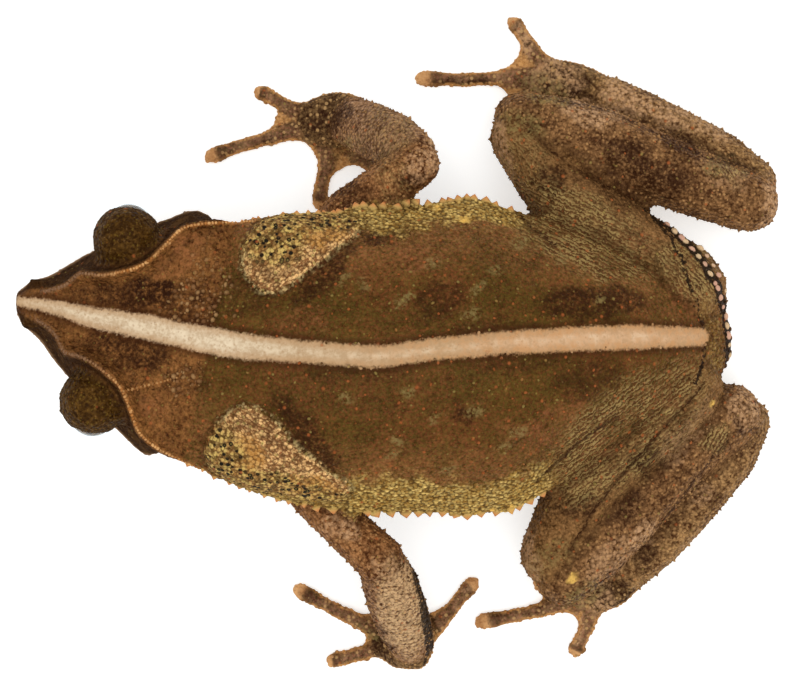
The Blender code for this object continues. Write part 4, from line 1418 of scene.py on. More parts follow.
def new_material(name: str) -> tuple[Material, Graph, Node]:
    """Starts a material.

    Args:
        name: its name.

    Returns:
        The material, the graph of its nodes and its Principled shader.
    """
    material = bpy.data.materials.new(name)
    material.use_nodes = True
    return material, Graph(material.node_tree), material.node_tree.nodes["Principled BSDF"]


class Effects:
    """The shader effects that several finishes share."""

    def __init__(self) -> None:
        """Builds each node group once."""
        self.mottle, self.cells = self.make_mottle(), self.make_cells()

    @staticmethod
    def start(name: str, inputs: tuple[str, ...],
              outputs: tuple[str, ...]) -> tuple[Graph, dict[str, Value], Node]:
        """Starts a node group with a Place input.

        Args:
            name: name of the group.
            inputs: names of its number inputs.
            outputs: names of its number outputs.

        Returns:
            Its graph, its inputs by name and its output node.
        """
        tree = bpy.data.node_groups.new(name, "ShaderNodeTree")
        tree.interface.new_socket("Place", in_out="INPUT", socket_type="NodeSocketVector")
        for way, keys in (("INPUT", inputs), ("OUTPUT", outputs)):
            for key in keys:
                tree.interface.new_socket(key, in_out=way, socket_type="NodeSocketFloat")
        source = tree.nodes.new("NodeGroupInput")
        given = {socket.name: Value(socket) for socket in source.outputs if socket.name}
        return Graph(tree), given, tree.nodes.new("NodeGroupOutput")

    def make_mottle(self) -> NodeTree:
        """Soft irregular blotches: Size in millimetres and Blur of their borders."""
        graph, given, end = self.start("Mottle", ("Size", "Blur", "Detail"), ("Mask",))
        cloud = graph.noise(given["Place"], 1.0 / given["Size"], Detail=given["Detail"], Roughness=0.62)
        graph.feed(end.inputs["Mask"], ((cloud - 0.5) / given["Blur"] + 0.5).clamped)
        return graph.tree

    def make_cells(self) -> NodeTree:
        """Cells of a Size in millimetres, for granules and spots.

        Returns:
            The group: the Distance from the middle of each cell, its own Number, the Height of the granule in
            it and the dark Gap around that.
        """
        graph, given, end = self.start("Cells", ("Size",), ("Distance", "Number", "Height", "Gap"))
        cells = graph.add("ShaderNodeTexVoronoi", {"Vector": given["Place"], "Scale": 1.0 / given["Size"]})
        distance = Value(cells.outputs["Distance"])
        number = graph.add("ShaderNodeSeparateColor", {0: Value(cells.outputs["Color"])}).outputs[0]
        results = {"Distance": distance, "Number": Value(number), "Height": (1.0 - distance).clamped,
            "Gap": distance.ease(0.42, 0.7)}
        for key, value in results.items():
            graph.feed(end.inputs[key], value)
        return graph.tree


@dataclass(frozen=True)
class SkinFinish:
    """The colours of the granular, dull to faintly moist skin, among them some painted shade and highlight;
    pairs run from dark to light.
    """

    back: Tones = ((0.046, 0.015, 0.001), (0.17, 0.075, 0.018))
    olive_back: Tones = ((0.042, 0.019, 0.002), (0.115, 0.078, 0.01))
    warm_back: Colour = (0.2, 0.072, 0.02)
    bank: Colour = (0.37, 0.16, 0.052)
    moss: Colour = (0.125, 0.082, 0.014)
    rust: Colour = (0.26, 0.075, 0.025)
    regions: tuple[tuple[str, Colour, Colour], ...] = (("head", (0.04, 0.01, 0.001), (0.345, 0.142, 0.04)),
        ("thigh", (0.062, 0.026, 0.006), (0.37, 0.185, 0.065)),
        ("shank", (0.065, 0.024, 0.007), (0.37, 0.185, 0.07)),
        ("tarsus", (0.08, 0.03, 0.009), (0.48, 0.27, 0.105)),
        ("upper_arm", (0.078, 0.023, 0.005), (0.44, 0.2, 0.072)),
        ("forearm", (0.08, 0.026, 0.008), (0.5, 0.27, 0.13)),
        ("palm", (0.042, 0.016, 0.007), (0.3, 0.17, 0.064)),
        ("digit", (0.042, 0.016, 0.009), (0.38, 0.19, 0.098)))
    lid: Tones = ((0.02, 0.006, 0.0), (0.125, 0.058, 0.01))
    lid_specks: Tones = ((0.19, 0.115, 0.016), (0.3, 0.11, 0.02))
    face: Tones = ((0.02, 0.006, 0.001), (0.1, 0.045, 0.012))
    dark: Colour = (0.028, 0.008, 0.002)
    black: Colour = (0.012, 0.006, 0.003)
    pale: Colour = (0.54, 0.31, 0.155)
    lichen: Colour = (0.24, 0.175, 0.058)
    red: Colour = (0.31, 0.105, 0.04)
    dot: Colour = (0.4, 0.105, 0.028)
    olive_dot: Colour = (0.3, 0.22, 0.05)
    # painted shade in the troughs of the folds, and painted highlight on their crests
    fold: Tones = ((0.045, 0.02, 0.005), (0.43, 0.31, 0.11))
    sleeve: Colour = (0.65, 0.41, 0.205)
    rim: Tones = ((0.42, 0.225, 0.045), (0.98, 0.68, 0.21))
    rim_joint: Colour = (0.045, 0.02, 0.004)
    rim_foot: Colour = (0.06, 0.028, 0.006)
    flank: Colour = (0.08, 0.036, 0.013)
    gland: Tones = ((0.26, 0.115, 0.038), (0.96, 0.58, 0.235))
    gland_olive: Colour = (0.5, 0.38, 0.12)
    gland_brown: Colour = (0.22, 0.085, 0.035)
    gland_front: Tones = ((0.1, 0.06, 0.012), (0.62, 0.44, 0.12))
    gland_ochre: Colour = (0.5, 0.22, 0.06)
    gland_joint: Colour = (0.09, 0.035, 0.01)
    gland_grain: Colour = (0.62, 0.4, 0.15)
    gland_brim: Colour = (0.4, 0.33, 0.14)
    pit: Colour = (0.012, 0.01, 0.006)
    gold: Colour = (0.52, 0.24, 0.05)
    stripe: Tones = ((0.74, 0.585, 0.395), (0.66, 0.4, 0.22))
    stripe_border: Colour = (0.045, 0.013, 0.003)
    stripe_middle: Colour = (0.5, 0.335, 0.18)
    stripe_edge: Colour = (0.48, 0.26, 0.11)
    stripe_core: Colour = (0.92, 0.76, 0.54)
    stripe_rear: Colour = (0.56, 0.27, 0.1)
    stripe_cloud: Colour = (0.42, 0.25, 0.12)
    stripe_speck: Colour = (0.4, 0.2, 0.09)
    neck: Tones = ((0.22, 0.1, 0.04), (0.42, 0.24, 0.1))
    crest: Tones = ((0.46, 0.17, 0.038), (0.78, 0.42, 0.16))
    crest_front: Colour = (0.24, 0.13, 0.07)
    lip: Colour = (0.46, 0.27, 0.14)
    ear: Tones = ((0.05, 0.02, 0.006), (0.16, 0.08, 0.03))
    # painted shade inside the slit of the mouth and the nostrils
    hole_shade: Colour = (0.012, 0.005, 0.003)
    digit_speck: Colour = (0.54, 0.32, 0.13)
    digit_end: Tones = ((0.36, 0.145, 0.045), (0.84, 0.47, 0.2))
    web: Colour = (0.44, 0.2, 0.055)
    web_speck: Colour = (0.2, 0.08, 0.025)
    # paler tips of tubercles: their own colour and a painted highlight
    tip: Colour = (0.54, 0.29, 0.11)
    olive_ember: Colour = (0.26, 0.19, 0.05)
    tooth: Tones = ((0.58, 0.38, 0.12), (0.66, 0.25, 0.085))
    orange: Colour = (0.68, 0.33, 0.1)
    cream: Colour = (0.72, 0.5, 0.28)
    pink_bead: Colour = (0.68, 0.38, 0.26)
    belly: Tones = ((0.16, 0.075, 0.035), (0.5, 0.36, 0.21))
    spot: Colour = (0.82, 0.5, 0.12)
    fold_width: float = 0.33
    gloss: float = 0.04
    relief: float = 0.7
    relief_depth: float = 0.0001

    def material(self, effects: Effects) -> Material:
        """Builds the material.

        Args:
            effects: the shared node groups.

        Returns:
            The material.
        """
        material, graph, shader = new_material("toad_skin")
        paint = SkinPaint(self, graph, effects)
        for coat in (paint.flesh, paint.patches, paint.folds, paint.rims, paint.glands, paint.specks,
                     paint.lines, paint.stripe, paint.face, paint.digits, paint.warts):
            coat()
        shader.inputs["Specular IOR Level"].default_value = self.gloss
        graph.feed(shader.inputs["Base Color"], paint.colour)
        graph.feed(shader.inputs["Roughness"], paint.roughness())
        graph.feed(shader.inputs["Normal"], paint.relief())
        return material


DUST_SIZE, GRANULE_SIZE = 0.17, 0.29
CELL_SIZES = (DUST_SIZE, GRANULE_SIZE, 0.31, 0.52, 1.1)


class SkinPaint:
    """The skin's colour, laid on in coats one over another, and the fine pattern that the coats share.

    Each coat is a share, from 0 to 1 over the surface, and a colour.
    """

    def __init__(self, finish: SkinFinish, graph: Graph, effects: Effects) -> None:
        """Adds the patterns that more than one coat uses.

        Args:
            finish: the colours.
            graph: the material's nodes.
            effects: the shared node groups.
        """
        self.finish, self.graph, self.effects, self.mask = finish, graph, effects, graph.mask
        self.place = graph.place()
        self.colour: Shade = finish.back[0]
        self.cells = {size: graph.use(effects.cells, Place=self.place, Size=size) for size in CELL_SIZES}
        self.granules, self.dust = self.cells[GRANULE_SIZE], self.cells[DUST_SIZE]["Number"] - 0.5
        self.coarse, self.broad = self.blotch(4.2, 0.3), self.blotch(5.5, 0.3)
        self.mid, self.uneven = self.blotch(1.2, 0.5), self.blotch(0.6, 0.4)
        self.small, self.tiny = self.blotch(0.3, 0.5), self.blotch(0.23, 0.3)
        self.wart, self.tone = graph.mask("wart"), graph.mask("tone")
        self.grain = (self.granules["Number"] + self.small) - 1.0
        self.band = (graph.mask("stripe") + (self.small - 0.5) * 0.16) + self.dust * 0.12
        self.on_stripe = self.band.ease(-0.16, 0.2)
        self.off_stripe = 1.0 - self.on_stripe
        self.limb = self.total("shank", "tarsus", "forearm", "upper_arm", "palm")

    def total(self, *names: str) -> Value:
        """Adds marks up to 1 at most."""
        result = self.mask(names[0])
        for name in names[1:]:
            result = result + self.mask(name)
        return result.clamped

    def blotch(self, size: float, blur: float) -> Value:
        """Gives irregular blotches of a size in millimetres."""
        detail = 3.0 if size > 1 else 2.0
        return self.graph.use(self.effects.mottle, Place=self.place, Size=size, Blur=blur,
            Detail=detail)["Mask"]

    def freckles(self, size: float, radius: float, share: float, first: float = 0.0) -> Value:
        """Gives spots of a radius in the share of the cells whose own numbers follow the first one."""
        spot = ((radius - self.cells[size]["Distance"]) * 9.0).clamped
        return spot * self.cells[size]["Number"].math("COMPARE", first + share / 2, share / 2)

    def layers(self, base: Shade, *coats: tuple[Value | float, Shade]) -> Shade:
        """Lays coats over a colour, the lowest first, each given by its share and its colour."""
        for share, colour in coats:
            base = self.graph.blend(share, base, colour)
        return base

    def lay(self, *coats: tuple[Value | float, Shade]) -> None:
        """Lays coats over the skin's colour."""
        self.colour = self.layers(self.colour, *coats)

    def flesh(self) -> None:
        """Lays the ground: each region's mottle between its dark and its light colour."""
        finish, mask, small = self.finish, self.mask, self.small
        olive = (1.0 - mask("bank")) * self.broad.ease(0.85, 0.2) * 0.5
        dark = self.layers(finish.back[0], (self.coarse.ease(0.9, 0.1), finish.olive_back[0]))
        light = self.layers(finish.back[1], (self.broad.ease(0.1, 0.9), finish.warm_back),
            (olive, finish.olive_back[1]))
        for key, low, high in finish.regions:
            share = mask(key)
            dark, light = self.layers(dark, (share, low)), self.layers(light, (share, high))
        variety = self.coarse * 0.34 + (self.mid * 0.3 + small * 0.26) + self.dust * 0.42
        variety = (variety + self.grain * (self.limb * 0.22 + 0.24)).clamped
        trunk = 1.0 - (self.limb + mask("thigh") + mask("head") * 0.7).clamped
        light = self.layers(light, (mask("bank") * 0.8, finish.bank))
        self.colour = self.layers(dark, (variety, light),
            (self.tiny.ease(0.35, 0.8) * trunk * 0.4, finish.moss),
            (self.tiny.ease(0.5, 0.05) * trunk * 0.3, finish.rust))

    def patches(self) -> None:
        """Lays on lids and face, and the reddish, dark, pale and olive patches."""
        finish, mask, mid, small, grain = self.finish, self.mask, self.mid, self.small, self.grain
        lid = self.layers((small * (self.granules["Number"] + 0.2) * 1.1).between(finish.lid),
            (self.freckles(0.31, 0.34, 0.5) * 0.42, finish.lid_specks[0]),
            (self.freckles(0.52, 0.2, 0.3, 0.6) * 0.4, finish.lid_specks[1]))
        self.lay((mask("lid"), lid), (mask("face"), (small * mid).between(finish.face)),
            (mask("red") * grain.ease(-0.7, 0.7) * mid.ease(-0.2, 1.0) * 0.55, finish.red),
            (mask("dark") * (small + mid).ease(2.0, 0.55) * 0.86, finish.dark),
            (mask("pale") * (grain + mid * 0.5).ease(-0.45, 0.75) * 0.95, finish.pale),
            (mask("lichen") * (small + grain).ease(-0.1, 1.1) * 0.75, finish.lichen))

    def folds(self) -> None:
        """Draws the fine broken folds of thighs and elbows as painted highlight on their crests and painted
        shade in their troughs, and the pale sleeve of the forearms.
        """
        finish, mask = self.finish, self.mask
        wave = (mask("phase") * (2 * math.pi / finish.fold_width) + self.small * 2.2)
        wave = wave + (self.mid * 6.0 + self.uneven * 2.4)
        self.ridge = wave.math("SINE") * 0.5 + 0.5
        folds = mask("fold") * ((self.uneven + self.coarse).ease(0.4, 1.4) * 0.75 + 0.25)
        sleeve = mask("pale") * mask("forearm") * (self.grain + self.ridge).ease(-0.4, 1.0)
        # painted highlight along the crests of the folds, and painted shade in their troughs
        self.lay((folds * self.ridge.ease(0.1, 1.0) * 0.62, finish.fold[1]),
            (folds * self.ridge.ease(0.7, 0.0) * 0.62, finish.fold[0]), (sleeve * 0.85, finish.sleeve))

    def rims(self) -> None:
        """Lays on the yellow granules of the rims of the back, and darkens the flanks."""
        finish, mask = self.finish, self.mask
        rim = self.layers((self.granules["Number"] + self.small).ease(0.5, 1.5).between(finish.rim),
            (self.granules["Gap"] * 0.65, finish.rim_joint))
        lit = self.tone.ease(0.2, 1.0).between(finish.rim)
        rim = self.graph.blend(self.wart, self.layers(rim, (0.5, finish.rim_foot)), lit)
        self.lay((mask("rim") * (mask("rim") + self.mid * 0.6).ease(0.35, 1.2), rim))
        skipped = (self.total("head", "palm", "digit") + mask("rim") + mask("tooth")).clamped
        self.lay((mask("flank") * 0.4 * (1.0 - skipped), finish.flank))

    def glands(self) -> None:
        """Lays on the two glands: streaked and pale behind, yellow with black pits in front."""
        finish, mask, mid, small, uneven = self.finish, self.mask, self.mid, self.small, self.uneven
        gland, front_mask = mask("gland"), mask("gland_front")
        front = (self.granules["Number"] + small * 0.7).ease(0.55, 1.1).between(finish.gland_front)
        front = self.layers(front, (uneven.ease(0.3, 0.8) * 0.5, finish.gland_ochre))
        pits = front_mask * self.freckles(0.52, 0.42, 0.8, 0.2) + self.freckles(0.31, 0.22, 0.35, 0.6) * 0.5
        inner = self.layers((self.ridge * 0.6 + self.grain * 1.1).ease(-0.1, 0.95).between(finish.gland),
            (self.freckles(0.52, 0.34, 0.6) * 0.6, finish.gland_olive),
            (uneven.ease(0.35, 1.0) * 0.4, finish.gland_brown), (mask("gland_gold") * 0.7, finish.gold),
            (front_mask * 0.85, front), (self.granules["Gap"] * 0.6, finish.gland_joint),
            (self.wart * self.tone.ease(0.2, 1.0) * 0.45, finish.gland_grain), (pits.clamped, finish.pit))
        ragged = gland + (self.grain + mid * 0.8) * 0.35
        brim = gland.ease(-0.35, -0.05) * gland.ease(0.3, 0.1) * self.grain.ease(-0.4, 0.4)
        self.lay((ragged.ease(-0.05, 0.45), inner), (brim * (1.0 - front_mask) * 0.6, finish.gland_brim))

    def specks(self) -> None:
        """Scatters the red, dark and olive dots, darkens the gaps between the granules, and paints shade into
        the hollows.
        """
        finish, mask = self.finish, self.mask
        gaps = self.granules["Gap"] * (self.limb * 0.2 + (0.2 - mask("head") * 0.12)) * self.off_stripe
        self.lay((self.freckles(1.1, 0.18, 0.45) * (1.0 - mask("under")) * 0.75, finish.dot),
            (self.freckles(0.52, 0.2, 0.3) * 0.5, finish.dark),
            (self.freckles(0.52, 0.21, 0.28, 0.3) * (0.55 - mask("lid") * 0.4), finish.olive_dot),
            # painted shade: the hollows of the skin are darkened
            (gaps, finish.dark), (mask("hollow").ease(0.2, 1.4) * 0.4, finish.dark))

    def lines(self) -> None:
        """Paints shade into the creases between the parts of the legs, and draws the black lines of rump and
        arm.
        """
        finish, mask, mid = self.finish, self.mask, self.mid
        shift = (self.small - 0.5) * 0.2
        crease = mask("crease") + shift
        line = (mask("line") + shift * 1.6).ease(0.13, 0.03)
        # painted shade: a soft dark band and a dark line along each crease of the legs
        self.lay((crease.ease(0.55, 0.05) * 0.2, finish.dark),
            (crease.ease(0.15, 0.05) * mid.ease(0.1, 0.7) * 0.85, finish.dark),
            (line * (mid + self.small).ease(0.1, 0.6) * 0.92, finish.black))

    def stripe(self) -> None:
        """Lays on the pale stripe: whiter in front, yellower behind, brown along its borders."""
        finish, band, mid, uneven = self.finish, self.band, self.mid, self.uneven
        self.along_x = Value(self.graph.add("ShaderNodeSeparateXYZ", {0: self.place}).outputs[0])
        rearward = self.along_x.ease(-12.0, 8.0)
        behind_head = self.along_x + 2.0
        middle = behind_head.math("ABSOLUTE").ease(13.0, 6.0)
        colour = self.layers(rearward.between(finish.stripe), (middle * 0.6, finish.stripe_middle),
            (band.ease(0.8, 0.1) * 0.6, finish.stripe_edge),
            (band.ease(0.45, 0.95) * mid.ease(0.1, 0.9) * 0.5, finish.stripe_core),
            (rearward * uneven.ease(0.3, 0.8) * 0.5, finish.stripe_rear),
            ((self.small + mid).ease(1.3, 0.5) * 0.4, finish.stripe_cloud),
            (self.freckles(0.31, 0.32, 0.4) * 0.35, finish.stripe_speck))
        self.lay((band.ease(-0.75, -0.15) * self.off_stripe * 0.65, finish.stripe_border),
            (self.on_stripe * 0.96, colour))

    def face(self) -> None:
        """Lays on the neck's tubercles, the crests, lips and ears, and paints black shade into the slit of the
        mouth and the nostrils.
        """
        finish, mask, mid, small = self.finish, self.mask, self.mid, self.small
        crest = self.layers((self.tone + mid).ease(0.4, 1.3).between(finish.crest),
            (self.along_x.ease(-22.0, -26.5), finish.crest_front))
        # painted shade: the slit of the mouth and the nostrils are blackened
        holes = mask("mouth").math("MAXIMUM", mask("nostril"))
        self.lay((mask("neck") * self.wart * 0.9, self.tone.ease(0.1, 0.9).between(finish.neck)),
            (mask("crest") * (small + self.wart).ease(0.1, 0.8) * 0.9, crest),
            (mask("lip") * small.ease(-0.3, 0.7) * 0.85, finish.lip),
            (mask("ear") * 0.5, mid.between(finish.ear)), (holes * 0.85, finish.hole_shade))

    def digits(self) -> None:
        """Lays on the digits' bands, their orange edges, which are partly their own colour and partly painted
        light shining through the thin skin, their pale ends, and the webs.
        """
        finish, mask, mid, small = self.finish, self.mask, self.mid, self.small
        along, digit = mask("tip"), mask("digit")
        wave = along * 21.0 + mid * 3.0
        speckled = (mask("palm") + digit).clamped
        web = self.layers((self.grain + mid).ease(0.0, 1.0).between((finish.web, finish.orange)),
            (small * 0.2, finish.cream), (self.freckles(0.52, 0.34, 0.4) * 0.5, finish.web_speck))
        self.lay((digit * wave.math("SINE").ease(0.35, 0.9) * small * 0.3, finish.pale),
            (speckled * self.freckles(0.52, 0.34, 0.7, 0.3) * 0.7, finish.digit_speck),
            # orange edges: partly their own colour, partly painted light shining through the thin skin
            (speckled * mask("edge") * small.ease(-0.2, 0.9) * 0.85, finish.orange),
            (digit * (along + small * 0.06).ease(0.86, 0.93) * 0.85, mid.between(finish.digit_end)),
            (digit * along.ease(0.74, 0.8) * along.ease(0.9, 0.85) * small * 0.8, finish.dark),
            (mask("web") * mid.ease(0.0, 0.5) * 0.85, web))

    def warts(self) -> None:
        """Lightens the tubercles' tips with their own paler colour and a painted highlight, and lays on the
        coloured ones, the rim's spots and the belly.
        """
        finish, mask, wart, tone = self.finish, self.mask, self.wart, self.tone
        # painted highlight on the tips of the tubercles, over their own paler tips
        lit = wart * tone.ease(0.15, 0.9) * self.limb * (1.0 - mask("dark") * 0.8)
        belly = (self.mid + self.small * 0.6).ease(0.2, 1.1).between(finish.belly)
        self.lay((lit * 0.7, finish.tip), (wart * tone.ease(0.45, 1.0) * 0.16, finish.tip),
            (mask("ember") * wart.ease(0.0, 0.8) * tone.ease(0.0, 0.7) * 0.72,
            tone.ease(0.8, 0.86).between((finish.dot, finish.olive_ember))),
            (mask("tooth") * wart.ease(0.0, 0.5) * 0.9, wart.ease(0.2, 0.9).between(finish.tooth)),
            (mask("bead") * wart.ease(0.0, 0.4) * 0.95,
            tone.ease(0.2, 0.9).between((finish.cream, finish.pink_bead))),
            (mask("spots") * self.small.ease(-0.5, 0.6), finish.spot), (mask("under") * 0.9, belly))

    def roughness(self) -> Value:
        """Gives the roughness: moister on the granules, drier between them and at the sides of the head."""
        rough = self.granules["Gap"] * 0.2 + 0.46 - self.small * 0.14
        return (rough + (self.mask("face") + self.mask("edge")) * 0.35).clamped

    def relief(self) -> Value:
        """Gives the normal of the fine relief: granules and folds, flatter on the stripe."""
        height = self.granules["Height"] + self.small * 0.7 + self.mask("fold") * self.ridge
        values = {"Height": height * (1.0 - self.on_stripe * 0.6), "Strength": self.finish.relief,
            "Distance": self.finish.relief_depth}
        return Value(self.graph.add("ShaderNodeBump", values).outputs[0])


@dataclass(frozen=True)
class EyeFinish:
    """Moist eye: bronze iris with dark veins, a level black pupil and a dark ball."""

    cornea_tint: Tones = ((0.9, 0.94, 0.97), (0.82, 0.88, 0.93))
    bronze: Tones = ((0.04, 0.016, 0.004), (0.27, 0.135, 0.032))
    fleck: Colour = (0.03, 0.014, 0.005)
    ball: Colour = (0.1, 0.12, 0.14)
    ring: Colour = (0.5, 0.29, 0.08)
    pupil: Colour = (0.002, 0.002, 0.002)
    pupil_size: tuple[float, float] = (0.52, 0.27)
    gloss: float = 0.1
    cornea_index: float = 1.22

    def material(self, effects: Effects) -> Material:
        """Builds the eyeball's material.

        Args:
            effects: the shared node groups.

        Returns:
            The material.
        """
        material, graph, shader = new_material("eye")
        place, blend = graph.place(), graph.blend
        veins = graph.use(effects.mottle, Place=place, Size=0.28, Blur=0.16, Detail=3.0)["Mask"]
        specks = graph.use(effects.cells, Place=place, Size=0.16)["Distance"].ease(0.3, 0.2)
        across, above = graph.mask("iris_across"), graph.mask("iris_above")
        wide, high = across / self.pupil_size[0], above / self.pupil_size[1]
        radius = (across * across + above * above).math("SQRT")
        pupil = (wide * wide + high * high).math("SQRT")
        iris = blend(specks * 0.5, veins.between(self.bronze), self.fleck)
        iris = blend(pupil.ease(1.35, 1.05) * 0.8, iris, self.ring)
        colour = blend(pupil.ease(1.04, 0.96), blend(radius.ease(1.0, 1.14), iris, self.ball), self.pupil)
        shader.inputs["Specular IOR Level"].default_value = self.gloss
        graph.feed(shader.inputs["Base Color"], colour)
        graph.feed(shader.inputs["Roughness"], veins * 0.12 + 0.16)
        return material

    def cornea(self) -> Material:
        """Builds the clear material of the cornea."""
        material, graph, shader = new_material("cornea")
        film = graph.noise(graph.place(), 2.5, Detail=2.0)
        graph.feed(shader.inputs["Base Color"], film.between(self.cornea_tint))
        graph.feed(shader.inputs["Roughness"], film * 0.03 + 0.02)
        shader.inputs["Transmission Weight"].default_value = 1.0
        shader.inputs["IOR"].default_value = self.cornea_index
        return material


@dataclass
class Eyes:
    """The two eyeballs, each with a clear cornea."""

    line: BodyLine
    radius: float = 2.0
    outward: float = 0.36
    cornea_gap: float = 0.025
    cornea_thickness: float = 0.17
    cornea_reach: float = 1.25
    cornea_rings: int = 16
    rings: int = 36
    sides: int = 64
    forward: float = 0.14
    upward: float = 0.12

    def build(self, finish: EyeFinish, effects: Effects) -> list[Object]:
        """Builds both eyes in place of their solids.

        Args:
            finish: their finish.
            effects: the shared node groups.

        Returns:
            The pieces.
        """
        ball, clear = finish.material(effects), finish.cornea()
        pieces = []
        for side in ("left", "right"):
            centre, axes = self.pose(side)
            outline = [(k * math.pi / self.rings, self.radius) for k in range(self.rings + 1)]
            pieces.append(self.turned(f"{side}_eyeball", centre, axes, outline, ball))
            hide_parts(f"eye_{side}")
            inner = self.radius + self.cornea_gap
            front = [k * self.cornea_reach / self.cornea_rings for k in range(self.cornea_rings + 1)]
            shell = [(a, inner + self.cornea_thickness * math.cos(a * 0.9)) for a in front]
            shell += [(a, inner) for a in reversed(front)]
            pieces.append(self.turned(f"{side}_cornea", centre, axes, shell, clear))
        return pieces

    def pose(self, side: str) -> tuple[Array, tuple[Array, Array, Array]]:
        """Finds where an eye stands and which way it looks.

        Args:
            side: left or right.

        Returns:
            Its centre in millimetres, and its outward, level and upward directions.
        """
        low, high = (np.array(corner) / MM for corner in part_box(f"eye_{side}"))
        sign = 1.0 if side == "right" else -1.0
        centre = (low + high) / 2 + (0.0, self.outward * sign, 0.0)
        out = unit(np.array([-self.forward, sign, self.upward]))
        level = unit(np.cross((0.0, 0.0, 1.0), out))
        return centre, (out, level, np.cross(out, level))

    def turned(self, name: str, centre: Array, axes: tuple[Array, Array, Array],
               outline: list[tuple[float, float]], material: Material) -> Object:
        """Turns an outline about the eye's axis into a closed piece.

        Args:
            name: its name.
            centre: the eye's centre.
            axes: its outward, level and upward directions.
            outline: angle from the axis and radius of each ring; the first and last lie on the axis.
            material: its material.

        Returns:
            The piece.
        """
        polar, radius = np.array(outline).T
        turn = np.arange(self.sides) * 2 * math.pi / self.sides
        ways = np.stack([np.ones(self.sides), np.cos(turn), np.sin(turn)], 1)
        rings = [ways * (math.cos(a), math.sin(a), math.sin(a)) * r for a, r in outline[1:-1]]
        ends = [np.array([(math.cos(a) * r, 0.0, 0.0)]) for a, r in (outline[0], outline[-1])]
        points = centre + np.concatenate([ends[0], *rings, ends[1]]) @ np.array(axes)
        spread = np.concatenate([polar[:1], np.repeat(polar[1:-1], self.sides), polar[-1:]])
        across = np.concatenate([[1.0], np.tile(ways[:, 1], len(rings)), [1.0]])
        above = np.concatenate([[0.0], np.tile(ways[:, 2], len(rings)), [0.0]])
        marks = {"iris_across": spread * across, "iris_above": spread * above}
        count, last = self.sides, len(points) - 1
        faces = [(0, 1 + k, 1 + (k + 1) % count) for k in range(count)]
        for ring in range(len(outline) - 3):
            a = 1 + ring * count
            faces += [(a + k, a + count + k, a + count + (k + 1) % count, a + (k + 1) % count)
                for k in range(count)]
        a = last - count
        faces += [(a + k, last, a + (k + 1) % count) for k in range(count)]
        obj = object_from(name, points, faces, marks)
        made = bmesh.new()
        made.from_mesh(obj.data)
        bmesh.ops.recalc_face_normals(made, faces=made.faces)
        made.to_mesh(obj.data)
        made.free()
        obj.data.materials.append(material)
        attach(obj, "root")
        LOG.info("%s: radius %.2f mm", name, radius.max())
        return obj


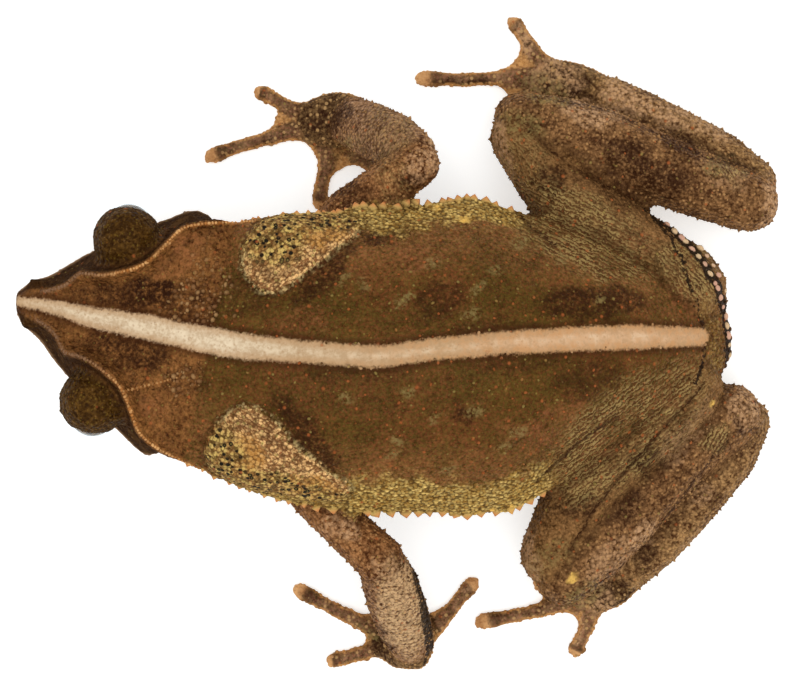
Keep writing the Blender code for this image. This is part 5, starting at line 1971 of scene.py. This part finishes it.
@dataclass
class Studio:
    """The pale floor, the soft light and the camera."""

    camera_x: float = 0.096
    camera_y: float = -0.417
    camera_height: float = CAMERA_HEIGHT
    lens: float = 236.7
    sensor_width: float = 36.0
    floor_size: float = 1600.0
    floor_drop: float = 0.02
    floor_glow: float = 0.48
    sun_strength: float = 1.55
    sun_spread: float = 50.0
    sun_colour: Colour = (1.0, 0.985, 0.96)
    sun_place: Triple = (0.04, -0.1, 1.0)
    sky_strength: float = 0.62
    sky_colour: Colour = (0.97, 0.985, 1.0)
    paper: Tones = ((0.8, 0.815, 0.82), (0.83, 0.84, 0.845))
    paper_light: Colour = (0.97, 0.99, 1.0)

    def build(self) -> None:
        """Makes them all."""
        self.aim()
        self.light()
        self.lay_floor()
        bpy.context.scene.view_settings.view_transform = "Standard"

    def aim(self) -> None:
        """Hangs the camera straight above the toad, with the head to the left."""
        lens = bpy.data.cameras.new("camera")
        lens.lens, lens.sensor_width, lens.sensor_fit = self.lens, self.sensor_width, "HORIZONTAL"
        lens.clip_start, lens.clip_end = 0.01, 20.0
        camera = bpy.data.objects.new("camera", lens)
        camera.location = (self.camera_x * MM, self.camera_y * MM, self.camera_height * MM)
        bpy.context.scene.collection.objects.link(camera)
        bpy.context.scene.camera = camera

    def light(self) -> None:
        """Adds a soft lamp above the toad, a little to its left, and an even sky."""
        lamp = bpy.data.lights.new("soft_lamp", "SUN")
        lamp.energy, lamp.color = self.sun_strength, self.sun_colour
        lamp.angle = math.radians(self.sun_spread)
        sun = bpy.data.objects.new("soft_lamp", lamp)
        sun.rotation_euler = Vector(self.sun_place).to_track_quat("Z", "Y").to_euler()
        bpy.context.scene.collection.objects.link(sun)
        world = bpy.data.worlds.new("sky")
        world.use_nodes = True
        sky = world.node_tree.nodes["Background"]
        sky.inputs["Color"].default_value = (*self.sky_colour, 1.0)
        sky.inputs["Strength"].default_value = self.sky_strength
        bpy.context.scene.world = world

    def lay_floor(self) -> None:
        """Lays a large white sheet, bright enough to lift the shadows on it."""
        made = bmesh.new()
        half, depth = self.floor_size / 2 * MM, -self.floor_drop * MM
        corners = ((-1, -1), (1, -1), (1, 1), (-1, 1))
        made.faces.new([made.verts.new((x * half, y * half, depth)) for x, y in corners])
        bmesh.ops.bevel(made, geom=made.verts[:], offset=half / 3, segments=6, affect="VERTICES")
        floor = new_object("floor", made)
        material, graph, shader = new_material("paper")
        fibre = graph.noise(graph.place(), 0.4, Detail=3.0)
        graph.feed(shader.inputs["Base Color"], fibre.between(self.paper))
        graph.feed(shader.inputs["Roughness"], 0.9)
        graph.feed(shader.inputs["Emission Color"], self.paper_light)
        graph.feed(shader.inputs["Emission Strength"], self.floor_glow)
        floor.data.materials.append(material)
        floor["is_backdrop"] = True


def dress_skin(skin: Skin, marks: dict[str, Array], material: Material, flesh: list[str]) -> None:
    """Turns the finished skin into a piece in place of the flesh solids.

    Args:
        skin: the skin.
        marks: its masks.
        material: its material.
        flesh: names of the solids that it replaces.
    """
    surface = skin.surface
    obj = object_from("skin", surface.points, surface.faces, marks)
    normals = surface.normals()
    first = np.array([face[0] for face in surface.faces])
    middle = np.array([normals[list(face)].mean(0) for face in surface.faces])
    lay_out(obj, surface.points, skin.owners[first], middle)
    obj.data.materials.append(material)
    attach(obj, "root")
    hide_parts(*flesh)
    LOG.info("skin: %d triangles in place of %d solids", sum(len(face) - 2 for face in surface.faces),
        len(flesh))


def main() -> None:
    """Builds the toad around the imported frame."""
    logging.basicConfig(level=logging.INFO, format="%(name)s: %(message)s")
    for obj in list(bpy.data.objects):
        bpy.data.objects.remove(obj)
    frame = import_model()
    Studio().build()
    line, effects = BodyLine(), Effects()
    flesh = {name: obj for name, obj in frame["nodes"].items() if not name.startswith("eye_")}
    skin = Skin(line)
    skin.build(flesh)
    marks = Markings(line, skin).paint()
    material = SkinFinish().material(effects)
    dress_skin(skin, marks, material, sorted(flesh))
    for piece in Warts(WartCoat(skin, marks), line).build():
        piece.data.materials.append(material)
    Eyes(line).build(EyeFinish(), effects)


if __name__ == "__main__":
    main()
